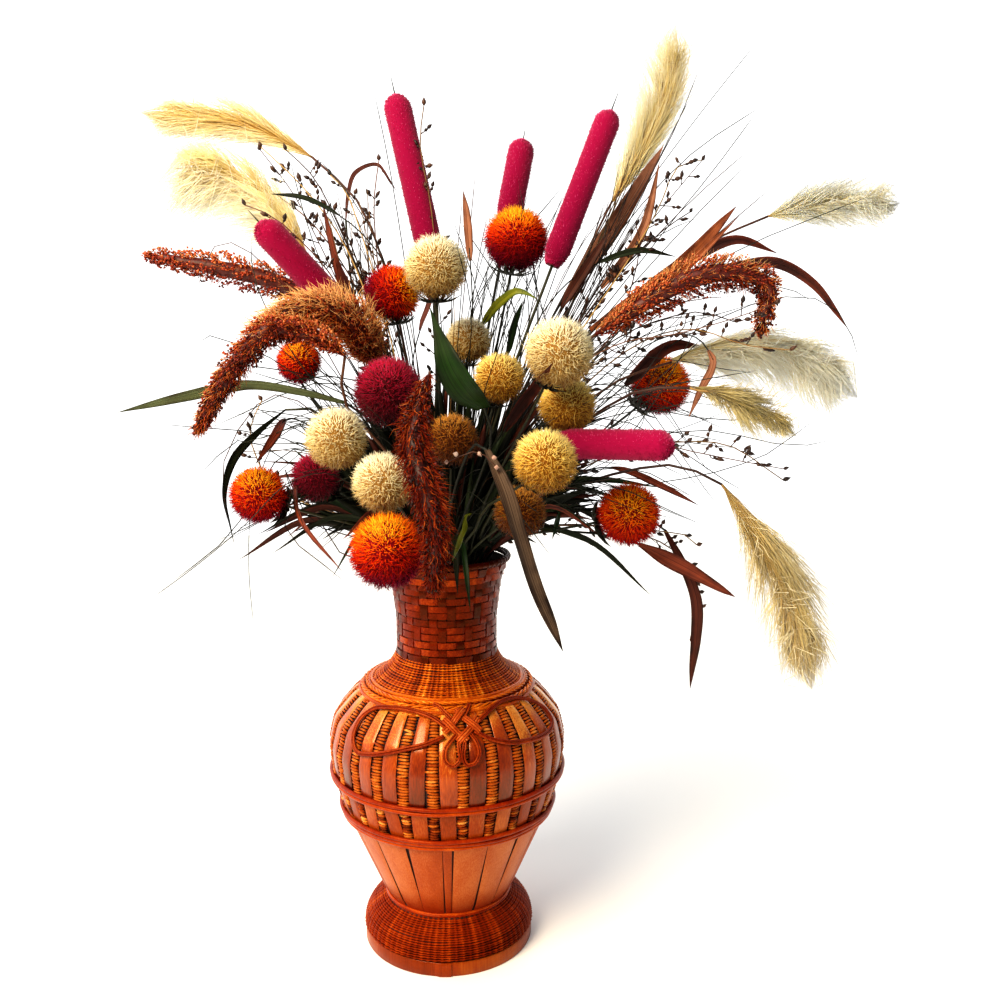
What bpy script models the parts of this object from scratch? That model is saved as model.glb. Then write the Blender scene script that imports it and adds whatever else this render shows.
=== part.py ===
"""A woven bamboo vase filled with dried grasses, thistle heads, cattails, sorghum, leaves and twigs.

Metres, +Z up. The origin is the centre of the vase's underside, and the front, with its cane knot, faces -Y.
"""

import math

import bmesh
import bpy
import numpy as np
from mathutils import Vector

GAP = 0.0003  # clear air between pieces that touch

# The woven shell: height and outer radius, from the underside to the mouth.
FOOT_OUTLINE = (
    (0.0, 0.0950),
    (0.0166, 0.0950),
    (0.0176, 0.0985),
    (0.030, 0.0973),
    (0.042, 0.0904),
    (0.052, 0.0765),
    (0.0575, 0.0680),
)
BELLY_OUTLINE = (
    (0.064, 0.0750),
    (0.167, 0.1195),
    (0.209, 0.1305),
    (0.243, 0.1347),
    (0.273, 0.1280),
    (0.298, 0.1070),
)
NECK_OUTLINE = (
    (0.304, 0.0990),
    (0.315, 0.0840),
    (0.330, 0.0651),
    (0.345, 0.0565),
    (0.385, 0.0565),
    (0.430, 0.0621),
    (0.449, 0.0690),
)
INSIDE_RINGS = (0.0176, 0.042, 0.0575, 0.064, 0.167, 0.243, 0.298, 0.330, 0.345, 0.385, 0.449)
WALL = 0.004
FLOOR = 0.004
SLATS = 26  # flat bamboo slats round the belly, one of them at the front
SLAT_RELIEF = 0.0016  # how far a slat stands out from the wicker between the slats
WIDE_SLAT, NARROW_SLAT = 0.84, 0.54  # share of the pitch, below and above the lower band
SLAT_EDGE = 0.05  # share of the pitch that each slat's side takes

HOOP_HEIGHT, HOOP_THICKNESS = 0.0160, 0.0040
WAIST_RING_HEIGHT, WAIST_CANE = 0.0575, 0.0030
LOWER_BAND_HEIGHT, UPPER_BAND_HEIGHT, SHOULDER_HEIGHT = 0.1670, 0.2090, 0.3100
BAND_CANE = 0.0024  # radius of the canes in the belly's bands
SHOULDER_CANE = 0.0036
RIM_CANE = 0.0042

# The cane knot, a little to the right of the front. Bearings are radians round from the front, lifts are off the slats.
KNOT_BEARING, KNOT_HEIGHT = 0.13, 0.2905
KNOT_WIDTH, KNOT_TALL = 0.046, 0.026
KNOT_BACK, KNOT_FACE, KNOT_FACE_SHARE = 0.0022, 0.0070, 0.78
KNOT_OUTLINE = ((1, 0), (0.45, 0.62), (0, 1), (-0.45, 0.62), (-1, 0), (-0.45, -0.62), (0, -1), (0.45, -0.62))
LOOP_CANE, SMALL_LOOP_CANE, LOOP_CLEARANCE = 0.0024, 0.0018, 0.0016
LOOP_POINTS, SMALL_LOOP_POINTS = 15, 8
# Each long loop: its side, the bearing and height of its far end, and its sag and rise at the middle.
LONG_LOOPS = (("left", -0.913, 0.2830, 0.0200, 0.0140), ("right", 1.144, 0.2840, 0.0160, 0.0140))
SMALL_LOOPS = (("left", 0.078), ("right", 0.182))  # side and bearing
SMALL_LOOP_HEIGHT, SMALL_LOOP_TALL, SMALL_LOOP_HALF_BEARING = 0.2712, 0.0115, 0.038

# The stems stand on the vase's floor and leave through the neck.
STEM_FOOT = FLOOR + GAP
NECK_LOW, NECK_TOP = 0.300, 0.440
STEM_RINGS = ((0.0215, 8), (0.0310, 15), (0.0405, 40))  # radius of each ring of stems, and how many it takes
STEM_SPACING = 0.0072  # least distance between two stems of a ring
STEM_STEPS = 5  # lengths that a stem is made of above the neck
AIR = 0.0012  # clear air that leaning stems keep between them
LEAN_ROUNDS = 160
PUSH, LONGEST_PUSH = 0.45, 0.006  # share of an overlap that each round clears, and the most that a point moves in it

# Each plant: its kind, its thickness scale, and where its head starts, bends and ends.
PLANTS = {
    "cream_thistle_1": ("cream", 0.033, [(-0.008, -0.080, 0.766)]),
    "cream_thistle_2": ("cream", 0.035, [(0.111, -0.140, 0.682)]),
    "cream_thistle_3": ("cream", 0.031, [(-0.104, -0.150, 0.601)]),
    "cream_thistle_4": ("cream", 0.030, [(-0.059, -0.175, 0.561)]),
    "golden_thistle_1": ("gold", 0.032, [(0.095, -0.170, 0.580)]),
    "golden_thistle_2": ("gold", 0.031, [(0.126, -0.080, 0.627)]),
    "golden_thistle_3": ("gold", 0.028, [(0.057, -0.060, 0.654)]),
    "golden_thistle_4": ("gold", 0.026, [(0.026, -0.010, 0.693)]),
    "golden_thistle_5": ("gold", 0.028, [(0.007, -0.090, 0.593)]),
    "golden_thistle_6": ("gold", 0.028, [(0.076, -0.100, 0.519)]),
    "orange_thistle_1": ("orange", 0.036, [(0.079, 0.010, 0.801)]),
    "orange_thistle_2": ("orange", 0.032, [(-0.056, 0.000, 0.743)]),
    "orange_thistle_3": ("orange", 0.030, [(-0.189, -0.100, 0.539)]),
    "orange_thistle_4": ("orange", 0.036, [(-0.053, -0.222, 0.505)]),
    "orange_thistle_5": ("orange", 0.036, [(0.249, 0.050, 0.641)]),
    "orange_thistle_6": ("orange", 0.035, [(0.196, -0.060, 0.509)]),
    "maroon_thistle_1": ("maroon", 0.036, [(-0.057, -0.090, 0.642)]),
    "maroon_thistle_2": ("maroon", 0.027, [(-0.136, -0.060, 0.551)]),
    "cattail_1": ("cattail", 0.0162, [(-0.018, 0.020, 0.803), (-0.056, 0.050, 0.977)]),
    "cattail_2": ("cattail", 0.0162, [(0.074, 0.080, 0.827), (0.096, 0.110, 0.936)]),
    "cattail_3": ("cattail", 0.0150, [(0.115, -0.020, 0.771), (0.188, 0.010, 0.955)]),
    "cattail_4": ("cattail", 0.0170, [(-0.103, -0.015, 0.717), (-0.198, -0.050, 0.824)]),
    "cattail_5": ("cattail", 0.0165, [(0.131, -0.110, 0.590), (0.230, -0.170, 0.594)]),
    "pampas_plume_1": ("plume", 0.0310, [(-0.150, 0.100, 0.900), (-0.234, 0.110, 0.938), (-0.347, 0.120, 0.951)]),
    "pampas_plume_2": ("plume", 0.0550, [(-0.154, 0.050, 0.779), (-0.226, 0.050, 0.843), (-0.312, 0.050, 0.864)]),
    "pampas_plume_3": ("plume", 0.0400, [(0.200, 0.120, 0.855), (0.252, 0.150, 0.966), (0.280, 0.160, 1.067)]),
    "pampas_plume_4": ("plume", 0.0390, [(0.383, 0.100, 0.837), (0.467, 0.110, 0.854), (0.547, 0.110, 0.855)]),
    "pampas_plume_5": ("plume", 0.0470, [(0.251, 0.000, 0.669), (0.352, 0.000, 0.669), (0.455, -0.020, 0.630)]),
    "pampas_plume_6": ("plume", 0.0440, [(0.285, -0.100, 0.546), (0.338, -0.130, 0.454), (0.372, -0.150, 0.341)]),
    "pampas_plume_7": ("plume", 0.0300, [(0.251, -0.090, 0.645), (0.300, -0.110, 0.622), (0.354, -0.120, 0.598)]),
    "sorghum_1": ("grain", 0.022, [(-0.109, 0.020, 0.720), (-0.189, 0.020, 0.758), (-0.322, 0.020, 0.784)]),
    "sorghum_2": (
        "grain",
        0.021,
        [(-0.097, -0.120, 0.679), (-0.150, -0.150, 0.708), (-0.195, -0.160, 0.671), (-0.231, -0.170, 0.609)],
    ),
    "sorghum_3": (
        "grain",
        0.024,
        [(0.160, -0.040, 0.699), (0.257, -0.050, 0.756), (0.334, -0.060, 0.757), (0.328, -0.070, 0.699)],
    ),
    "sorghum_4": (
        "grain",
        0.019,
        [(-0.014, -0.190, 0.663), (-0.028, -0.232, 0.607), (-0.010, -0.262, 0.539), (-0.012, -0.262, 0.478)],
    ),
    "sorghum_5": (
        "grain",
        0.028,
        [(-0.072, -0.010, 0.665), (-0.093, -0.077, 0.710), (-0.129, -0.105, 0.727), (-0.181, -0.112, 0.704)],
    ),
    "leaf_1": (
        "leaf",
        0.010,
        [(0.039, -0.180, 0.592), (0.057, -0.215, 0.550), (0.076, -0.230, 0.483), (0.106, -0.240, 0.413)],
    ),
    "leaf_2": ("leaf", 0.018, [(0.038, -0.140, 0.629), (0.010, -0.160, 0.661), (-0.015, -0.150, 0.729)]),
    "leaf_3": (
        "leaf",
        0.005,
        [(-0.112, 0.090, 0.829), (-0.104, 0.090, 0.876), (-0.077, 0.090, 0.892), (-0.053, 0.090, 0.861)],
    ),
    "leaf_4": (
        "leaf",
        0.007,
        [(-0.102, -0.080, 0.631), (-0.180, -0.120, 0.652), (-0.243, -0.140, 0.643), (-0.311, -0.150, 0.626)],
    ),
    "leaf_5": (
        "leaf",
        0.005,
        [(-0.170, -0.030, 0.620), (-0.215, -0.050, 0.581), (-0.231, -0.065, 0.540), (-0.221, -0.070, 0.482)],
    ),
    "leaf_6": ("leaf", 0.009, [(0.161, 0.010, 0.704), (0.249, 0.010, 0.764), (0.324, 0.020, 0.840)]),
    "leaf_7": ("leaf", 0.010, [(0.137, 0.040, 0.743), (0.189, 0.060, 0.813), (0.251, 0.070, 0.912)]),
    "leaf_8": (
        "leaf",
        0.006,
        [(0.273, 0.020, 0.764), (0.366, 0.010, 0.778), (0.408, 0.000, 0.753), (0.445, -0.010, 0.704)],
    ),
    "leaf_9": ("leaf", 0.009, [(0.216, -0.015, 0.467), (0.269, -0.040, 0.442), (0.315, -0.060, 0.416)]),
    "leaf_10": ("leaf", 0.007, [(0.248, 0.000, 0.480), (0.282, -0.020, 0.403), (0.275, -0.030, 0.301)]),
    "twig_1": ("twig", 0.0015, [(-0.112, 0.060, 0.738), (-0.161, 0.070, 0.843), (-0.205, 0.080, 0.904)]),
    "twig_2": ("twig", 0.0015, [(0.167, 0.060, 0.738), (0.229, 0.090, 0.814), (0.305, 0.110, 0.902)]),
    "twig_3": ("twig", 0.0015, [(0.183, -0.060, 0.690), (0.262, -0.080, 0.705), (0.333, -0.100, 0.730)]),
    "twig_4": ("twig", 0.0015, [(0.206, -0.060, 0.589), (0.277, -0.075, 0.574), (0.354, -0.085, 0.560)]),
    "grass_stalk_1": ("grass", 0.0011, [(0.180, 0.070, 0.795), (0.271, 0.080, 0.919), (0.357, 0.080, 1.027)]),
    "grass_stalk_2": ("grass", 0.0011, [(-0.147, -0.145, 0.560), (-0.220, -0.152, 0.495), (-0.286, -0.150, 0.446)]),
    "grass_stalk_3": ("grass", 0.0011, [(-0.170, 0.000, 0.596), (-0.213, -0.020, 0.510), (-0.212, -0.030, 0.384)]),
}

# Each kind: stem radius, sides of the head, thickness over width, and the head's rings,
# as a share of its length and a share of its width.
KINDS = {
    "plume": (0.0022, 6, 0.62, ((0.0, 0.12), (0.18, 0.5), (0.42, 0.86), (0.68, 1.0), (0.88, 0.9), (0.97, 0.55))),
    "grain": (0.0020, 6, 0.80, ((0.0, 0.18), (0.2, 0.75), (0.4, 1.0), (0.6, 0.92), (0.8, 0.7), (0.94, 0.3))),
    "cattail": (0.0022, 8, 1.0, ((0.0, 0.55), (0.03, 1.0), (0.5, 1.0), (0.87, 1.0), (0.91, 0.6), (0.92, 0.09))),
    "leaf": (0.0016, 4, 0.10, ((0.0, 0.30), (0.22, 0.85), (0.45, 1.0), (0.7, 0.8), (0.88, 0.45))),
    "twig": (0.0015, 3, 1.0, ((0.0, 1.0), (0.35, 0.8), (0.7, 0.6))),
    "grass": (0.0011, 3, 1.0, ((0.0, 1.0), (0.35, 0.8), (0.7, 0.6))),
}
THISTLE_STEM, THISTLE_SIDES = 0.0020, 8
THISTLE_AIM, THISTLE_SPREAD = 0.46, 0.75  # thistles look away from this height on the axis, a little more upright
HEAD_STEPS = 20  # lengths between two points of a head's curve
THISTLE_RING_ANGLES = (20, 52, 84, 116, 148)  # degrees from the stem's end of the round head

# Base colour, roughness.
FINISHES = {
    "bamboo": ((0.42, 0.12, 0.03, 1.0), 0.35),
    "bamboo_dark": ((0.16, 0.035, 0.012, 1.0), 0.4),
    "cream": ((0.62, 0.55, 0.34, 1.0), 0.9),
    "gold": ((0.50, 0.33, 0.12, 1.0), 0.9),
    "orange": ((0.72, 0.16, 0.01, 1.0), 0.85),
    "maroon": ((0.16, 0.01, 0.02, 1.0), 0.9),
    "cattail": ((0.36, 0.01, 0.09, 1.0), 0.95),
    "plume": ((0.70, 0.58, 0.33, 1.0), 0.8),
    "grain": ((0.26, 0.06, 0.02, 1.0), 0.85),
    "leaf": ((0.10, 0.06, 0.03, 1.0), 0.6),
    "twig": ((0.06, 0.03, 0.02, 1.0), 0.7),
    "grass": ((0.03, 0.06, 0.03, 1.0), 0.6),
}


def clear_scene():
    for thing in list(bpy.data.objects):
        bpy.data.objects.remove(thing, do_unlink=True)


def material_for(finish, name):
    """Each piece has its own material, named for the piece."""
    colour, roughness = FINISHES[finish]
    material = bpy.data.materials.new(name)
    material.use_nodes = True
    shader = material.node_tree.nodes["Principled BSDF"]
    shader.inputs["Base Color"].default_value = colour
    shader.inputs["Roughness"].default_value = roughness
    return material


def add_solid(name, vertices, faces, finish):
    """One named object from its vertices and faces, with its faces turned outwards."""
    mesh = bpy.data.meshes.new(name)
    mesh.from_pydata(vertices, [], faces)
    build = bmesh.new()
    build.from_mesh(mesh)
    bmesh.ops.recalc_face_normals(build, faces=build.faces)
    build.to_mesh(mesh)
    build.free()
    mesh.shade_smooth()
    mesh.set_sharp_from_angle(angle=math.radians(35))
    mesh.materials.append(material_for(finish, name))
    solid = bpy.data.objects.new(name, mesh)
    bpy.context.scene.collection.objects.link(solid)
    return solid


def around(radius, angle, height):
    """A point at that bearing from the front, in radians."""
    return (radius * math.sin(angle), -radius * math.cos(angle), height)


def bridge(lower, upper):
    """Triangles between two closed loops of vertex numbers, which may differ in count."""
    faces = []
    i = j = 0
    while i < len(lower) or j < len(upper):
        here, there = lower[i % len(lower)], upper[j % len(upper)]
        if j == len(upper) or (i < len(lower) and (i + 1) / len(lower) <= (j + 1) / len(upper)):
            faces.append((here, lower[(i + 1) % len(lower)], there))
            i += 1
        else:
            faces.append((here, upper[(j + 1) % len(upper)], there))
            j += 1
    return faces


# The vase


def slat_ring(height, radius, share):
    """A ring through the slats' faces and the wicker between them, four points to a slat."""
    pitch = 2 * math.pi / SLATS
    points = []
    for slat in range(SLATS):
        middle = slat * pitch
        half = share * pitch / 2
        edge = SLAT_EDGE * pitch
        points.append(around(radius, middle - half, height))
        points.append(around(radius, middle + half, height))
        points.append(around(radius - SLAT_RELIEF, middle + half + edge, height))
        points.append(around(radius - SLAT_RELIEF, middle + pitch - half - edge, height))
    return points


def plain_ring(height, radius):
    return [around(radius, 2 * math.pi * k / SLATS, height) for k in range(SLATS)]


def add_vase_body():
    """The woven shell: the foot, the slatted belly, the neck, and the inside down to the base mat."""
    rings = [plain_ring(z, r) for z, r in FOOT_OUTLINE]
    for z, r in BELLY_OUTLINE:
        rings.append(slat_ring(z, r, WIDE_SLAT if z < LOWER_BAND_HEIGHT else NARROW_SLAT))
    rings += [plain_ring(z, r) for z, r in NECK_OUTLINE]
    outline = FOOT_OUTLINE + BELLY_OUTLINE + NECK_OUTLINE
    inside = [(z, r - WALL) for z, r in reversed(outline) if z in INSIDE_RINGS]
    inside.append((FLOOR, FOOT_OUTLINE[0][1] - WALL))
    rings += [plain_ring(z, r) for z, r in inside]
    vertices, loops = [], []
    for ring in rings:
        loops.append(list(range(len(vertices), len(vertices) + len(ring))))
        vertices += ring
    faces = [tuple(loops[0]), tuple(loops[-1])]
    for lower, upper in zip(loops, loops[1:]):
        if len(lower) == len(upper):
            count = len(lower)
            for k in range(count):
                faces.append((lower[k], lower[(k + 1) % count], upper[(k + 1) % count], upper[k]))
        else:
            faces += slat_ends(lower, upper)
    return add_solid("vase_body", vertices, faces, "bamboo")


def slat_ends(lower, upper):
    """The strip where the slatted rings meet the plain ones, one plain point to a slat."""
    plain, slatted = sorted((lower, upper), key=len)
    faces = []
    for k in range(SLATS):
        a, b, c, d = slatted[4 * k : 4 * k + 4]
        following = slatted[(4 * k + 4) % len(slatted)]
        here, beyond = plain[k], plain[(k + 1) % SLATS]
        faces += [(a, b, here), (b, c, here), (c, d, here), (d, beyond, here), (d, following, beyond)]
    return faces


def outer_radius(height):
    """The shell's outer radius at a height, straight between its rings."""
    outline = FOOT_OUTLINE + BELLY_OUTLINE + NECK_OUTLINE
    for (z0, r0), (z1, r1) in zip(outline, outline[1:]):
        if z0 <= height <= z1:
            return r0 + (r1 - r0) * (height - z0) / (z1 - z0)
    return outline[-1][1]


def add_ring(name, section, finish):
    """A ring round the vase, turned from a closed section of (radius, height) points."""
    count = len(section)
    vertices = [around(r, 2 * math.pi * k / SLATS, z) for k in range(SLATS) for r, z in section]
    faces = []
    for k in range(SLATS):
        for i in range(count):
            a, b = k * count + i, k * count + (i + 1) % count
            c, d = (b + count) % len(vertices), (a + count) % len(vertices)
            faces.append((a, b, c, d))
    return add_solid(name, vertices, faces, finish)


def cane_section(radius, height, cane, sides=5):
    turn = 2 * math.pi / sides
    return [(radius + cane * math.cos(k * turn), height + cane * math.sin(k * turn)) for k in range(sides)]


def clear_radius(radius):
    """The radius at which a ring's flat facets clear a round wall of that radius."""
    return (radius + GAP) / math.cos(math.pi / SLATS)


def band_section(height, canes):
    """Canes laid side by side on the slope of the belly, with a flat back."""
    reach = canes * BAND_CANE
    low, high = height - reach, height + reach
    bulge = outer_radius(height) - (outer_radius(low) + outer_radius(high)) / 2
    back_low, back_high = (clear_radius(outer_radius(end) + bulge) for end in (low, high))
    section = [(back_high, high), (back_low, low)]
    for k in range(canes):
        middle = (2 * k + 1) / (2 * canes)
        radius = back_low + (back_high - back_low) * middle + 2 * BAND_CANE
        section.append((radius, low + (high - low) * middle))
        if k < canes - 1:
            valley = (k + 1) / canes
            radius = back_low + (back_high - back_low) * valley + BAND_CANE
            section.append((radius, low + (high - low) * valley))
    return section


def add_vase_rings():
    inner = clear_radius(FOOT_OUTLINE[0][1])
    outer = inner + HOOP_THICKNESS
    hoop = [(inner, 0.0), (outer, 0.0), (outer, HOOP_HEIGHT), (inner, HOOP_HEIGHT)]
    add_ring("base_hoop", hoop, "bamboo")
    beside_waist = max(outer_radius(WAIST_RING_HEIGHT + step) for step in (-WAIST_CANE, WAIST_CANE))
    waist = clear_radius(beside_waist) + WAIST_CANE / 3
    add_ring("waist_ring", cane_section(waist, WAIST_RING_HEIGHT, WAIST_CANE), "bamboo_dark")
    add_ring("lower_band", band_section(LOWER_BAND_HEIGHT, 3), "bamboo_dark")
    add_ring("upper_band", band_section(UPPER_BAND_HEIGHT, 2), "bamboo_dark")
    shoulder = clear_radius(outer_radius(SHOULDER_HEIGHT - SHOULDER_CANE)) + SHOULDER_CANE
    add_ring("shoulder_ring", cane_section(shoulder, SHOULDER_HEIGHT, SHOULDER_CANE), "bamboo_dark")
    top = NECK_OUTLINE[-1]
    add_ring("mouth_rim", cane_section(top[1], top[0] + GAP + RIM_CANE, RIM_CANE), "bamboo_dark")


def on_shoulder(bearing, height, lift):
    """A point that far off the shell's face, square to its slope."""
    step = 0.002
    slope = (outer_radius(height + step) - outer_radius(height - step)) / (2 * step)
    length = math.hypot(1, slope)
    return Vector(around(clear_radius(outer_radius(height)) + lift / length, bearing, height - lift * slope / length))


def add_tube(name, points, cane, sides, finish):
    """A closed tube through the points, joined end to start."""
    vertices = []
    count = len(points)
    for k, point in enumerate(points):
        along = (points[(k + 1) % count] - points[k - 1]).normalized()
        out = Vector((point.x, point.y, 0)).normalized()
        across = along.cross(out).normalized()
        out = across.cross(along).normalized()
        for side in range(sides):
            angle = 2 * math.pi * (side + 0.5) / sides
            vertices.append(point + out * (cane * math.cos(angle)) + across * (cane * math.sin(angle)))
    faces = []
    for k in range(count):
        for side in range(sides):
            a, b = k * sides + side, k * sides + (side + 1) % sides
            c, d = (b + sides) % len(vertices), (a + sides) % len(vertices)
            faces.append((a, b, c, d))
    return add_solid(name, vertices, faces, finish)


def long_loop(far_bearing, far_height, sag, rise):
    """A long leaf-shaped loop of cane from the knot out to one side and back."""
    points = []
    for k in range(LOOP_POINTS):
        turn = 2 * math.pi * k / LOOP_POINTS
        out = (1 - math.cos(turn)) / 2
        swell = math.copysign(abs(math.sin(turn)) ** 1.3, math.sin(turn))
        bearing = KNOT_BEARING + (far_bearing - KNOT_BEARING) * out
        height = KNOT_HEIGHT + (far_height - KNOT_HEIGHT) * out + swell * (rise if swell > 0 else sag)
        points.append(on_shoulder(bearing, height, LOOP_CANE + LOOP_CLEARANCE))
    return points


def small_loop(bearing):
    points = []
    for k in range(SMALL_LOOP_POINTS):
        turn = 2 * math.pi * k / SMALL_LOOP_POINTS
        across = bearing + SMALL_LOOP_HALF_BEARING * math.sin(turn)
        height = SMALL_LOOP_HEIGHT + SMALL_LOOP_TALL * math.cos(turn)
        points.append(on_shoulder(across, height, LOOP_CANE + LOOP_CLEARANCE))
    return points


def join(target, others):
    """Unites the others with the target, and leaves them out of the model."""
    for other in others:
        union = target.modifiers.new("join " + other.name, "BOOLEAN")
        union.operation = "UNION"
        union.solver = "EXACT"
        union.object = other
        other.hide_render = True
        other.display_type = "WIRE"


def add_knot():
    """The woven lozenge with a long loop to each side and two small hanging loops."""
    half_bearing = KNOT_WIDTH / 2 / outer_radius(KNOT_HEIGHT)
    vertices = []
    for lift, share in ((KNOT_BACK, 1.0), (KNOT_FACE, KNOT_FACE_SHARE)):
        for across, up in KNOT_OUTLINE:
            bearing = KNOT_BEARING + share * across * half_bearing
            vertices.append(on_shoulder(bearing, KNOT_HEIGHT + share * up * KNOT_TALL / 2, lift))
        vertices.append(on_shoulder(KNOT_BEARING, KNOT_HEIGHT, lift))
    count = len(KNOT_OUTLINE)
    face = count + 1
    faces = []
    for k in range(count):
        following = (k + 1) % count
        faces.append((k, following, face + following, face + k))
        faces.append((following, k, count))
        faces.append((face + k, face + following, face + count))
    knot = add_solid("cane_knot", vertices, faces, "bamboo_dark")
    loops = []
    for side, bearing, height, sag, rise in LONG_LOOPS:
        points = long_loop(bearing, height, sag, rise)
        loops.append(add_tube("knot_loop_" + side, points, LOOP_CANE, 4, "bamboo_dark"))
    for side, bearing in SMALL_LOOPS:
        points = small_loop(bearing)
        loops.append(add_tube("small_knot_loop_" + side, points, SMALL_LOOP_CANE, 4, "bamboo_dark"))
    join(knot, loops)


# The plants


def smooth_path(points, steps):
    """Points along a smooth curve through the given ones."""
    points = [np.array(p, float) for p in points]
    padded = [2 * points[0] - points[1], *points, 2 * points[-1] - points[-2]]
    path = []
    spans = len(points) - 1
    for k in range(steps + 1):
        place = spans * k / steps
        span = min(int(place), spans - 1)
        t = place - span
        a, b, c, d = padded[span : span + 4]
        path.append(0.5 * (2 * b + (c - a) * t + (2 * a - 5 * b + 4 * c - d) * t**2 + (3 * b - a - 3 * c + d) * t**3))
    return path


def spread_bearings(bearings, least):
    """Moves bearings apart along their ring until each pair has the least angle between them."""
    order = np.argsort(bearings)
    turned = np.array(bearings, float)[order]
    for _ in range(400):
        gaps = np.roll(turned, -1) - turned
        gaps[-1] += 2 * math.pi
        push = np.maximum(least - gaps, 0) / 2
        turned += np.roll(push, 1) - push
    spread = np.empty(len(turned))
    spread[order] = turned
    return spread


def neck_places(heads):
    """Where each stem passes the neck: upright plants in the middle, leaning ones outside, each on its own bearing."""
    lean = [math.atan2(math.hypot(head[0], head[1]), head[2] - NECK_TOP) for head in heads]
    order = sorted(range(len(heads)), key=lambda k: lean[k])
    places = [None] * len(heads)
    first = 0
    for radius, count in STEM_RINGS:
        ring = order[first : first + count]
        first += count
        bearings = [math.atan2(heads[k][1], heads[k][0]) for k in ring]
        for k, bearing in zip(ring, spread_bearings(bearings, STEM_SPACING / radius)):
            places[k] = (radius * math.cos(bearing), radius * math.sin(bearing))
    return places


def stem_curve(place, head, direction):
    """A smooth stem from the neck, where it stands upright, to the start of its head."""
    start, end = np.array([*place, NECK_TOP]), np.array(head, float)
    reach = np.linalg.norm(end - start)
    leave, arrive = np.array([0, 0, 1.0]) * reach * 0.8, np.array(direction) * reach * 0.7
    curve = []
    for k in range(STEM_STEPS + 1):
        t = k / STEM_STEPS
        h00, h10 = 2 * t**3 - 3 * t**2 + 1, t**3 - 2 * t**2 + t
        h01, h11 = -2 * t**3 + 3 * t**2, t**3 - t**2
        curve.append(h00 * start + h10 * leave + h01 * end + h11 * arrive)
    return curve


def plan_plant(name):
    """The plant's head: its rings' centres and radii, where its stem ends, and the direction it arrives in."""
    kind, width, head = PLANTS[name]
    if kind in KINDS:
        stem, _, _, rings = KINDS[kind]
        path = smooth_path(head, HEAD_STEPS)
        lengths = np.cumsum([0] + [np.linalg.norm(b - a) for a, b in zip(path, path[1:])])
        centres = []
        for share, _ in (*rings, (1.0, 0)):
            along = share * lengths[-1]
            centres.append(np.array([np.interp(along, lengths, [p[i] for p in path]) for i in range(3)]))
        radii = [width * share for _, share in rings]
        direction = (path[1] - path[0]) / np.linalg.norm(path[1] - path[0])
        return {"centres": centres, "radii": radii, "stem": stem, "start": centres[0], "direction": direction}
    centre = np.array(head[0])
    foot = np.array([0, 0, THISTLE_AIM])
    direction = centre - foot
    direction[:2] *= THISTLE_SPREAD
    direction /= np.linalg.norm(direction)
    angles = [math.radians(a) for a in THISTLE_RING_ANGLES]
    centres = [centre - direction * width * math.cos(a) for a in angles] + [centre + direction * width]
    radii = [width * math.sin(a) for a in angles]
    return {"centres": centres, "radii": radii, "stem": THISTLE_STEM, "start": centres[0], "direction": direction}


def nearest(p1, q1, p2, q2):
    """Shares along two sets of line pieces at their nearest points."""
    d1, d2, r = q1 - p1, q2 - p2, p1 - p2
    a, e = (d1 * d1).sum(1) + 1e-12, (d2 * d2).sum(1) + 1e-12
    b, c, f = (d1 * d2).sum(1), (d1 * r).sum(1), (d2 * r).sum(1)
    denominator = np.maximum(a * e - b * b, 1e-12)
    s = np.clip((b * f - c * e) / denominator, 0, 1)
    t = np.clip((b * s + f) / e, 0, 1)
    s = np.clip((b * t - c) / a, 0, 1)
    return s, t


def lean_apart(plans, curves):
    """Bends the free lengths of the stems away from one another and from the heads, which stay where they are."""
    points, radii, owner, free, pieces = [], [], [], [], []
    for number, (plan, curve) in enumerate(zip(plans, curves)):
        first = len(points)
        points += [curve[0] * [1, 1, 0] + [0, 0, NECK_LOW], *curve]
        radii += [plan["stem"]] * (len(curve) + 1)
        free += [0, 0] + [1] * (len(curve) - 2) + [0]
        pieces += [(k, k + 1) for k in range(first, len(points) - 1)]
        head = len(points)
        if plan["ball"]:
            points.append(plan["ball"][0])
            radii.append(plan["ball"][1])
            free.append(0)
            pieces.append((head, head))
        else:
            points += plan["centres"]
            radii += [*plan["radii"], 0.001]
            free += [0] * len(plan["centres"])
            pieces += [(k, k + 1) for k in range(head, len(points) - 1)]
        owner += [number] * (len(points) - first)
    points, radii, owner, free = np.array(points), np.array(radii), np.array(owner), np.array(free, float)
    pieces = np.array(pieces)
    one, two = np.triu_indices(len(pieces), 1)
    apart = owner[pieces[one, 0]] != owner[pieces[two, 0]]
    one, two = pieces[one[apart]], pieces[two[apart]]
    for _ in range(LEAN_ROUNDS):
        s, t = nearest(points[one[:, 0]], points[one[:, 1]], points[two[:, 0]], points[two[:, 1]])
        s, t = s[:, None], t[:, None]
        here = points[one[:, 0]] * (1 - s) + points[one[:, 1]] * s
        there = points[two[:, 0]] * (1 - t) + points[two[:, 1]] * t
        thick = radii[one[:, :1]] * (1 - s) + radii[one[:, 1:]] * s + radii[two[:, :1]] * (1 - t) + radii[two[:, 1:]] * t
        between = here - there
        distance = np.linalg.norm(between, axis=1, keepdims=True)
        short = thick + AIR - distance
        close = short[:, 0] > 0
        push = (between / np.maximum(distance, 1e-6) * short * PUSH)[close]
        move = np.zeros_like(points)
        for ends, share, sign in ((one, s, 1), (two, t, -1)):
            np.add.at(move, ends[close, 0], sign * push * (1 - share[close]))
            np.add.at(move, ends[close, 1], sign * push * share[close])
        size = np.linalg.norm(move, axis=1, keepdims=True)
        move *= np.minimum(1, LONGEST_PUSH / np.maximum(size, 1e-9))
        points += move * free[:, None]
    leaned = []
    for number, curve in enumerate(curves):
        first = int(np.argmax(owner == number)) + 1
        leaned.append([points[first + k] for k in range(len(curve))])
    return leaned


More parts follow.
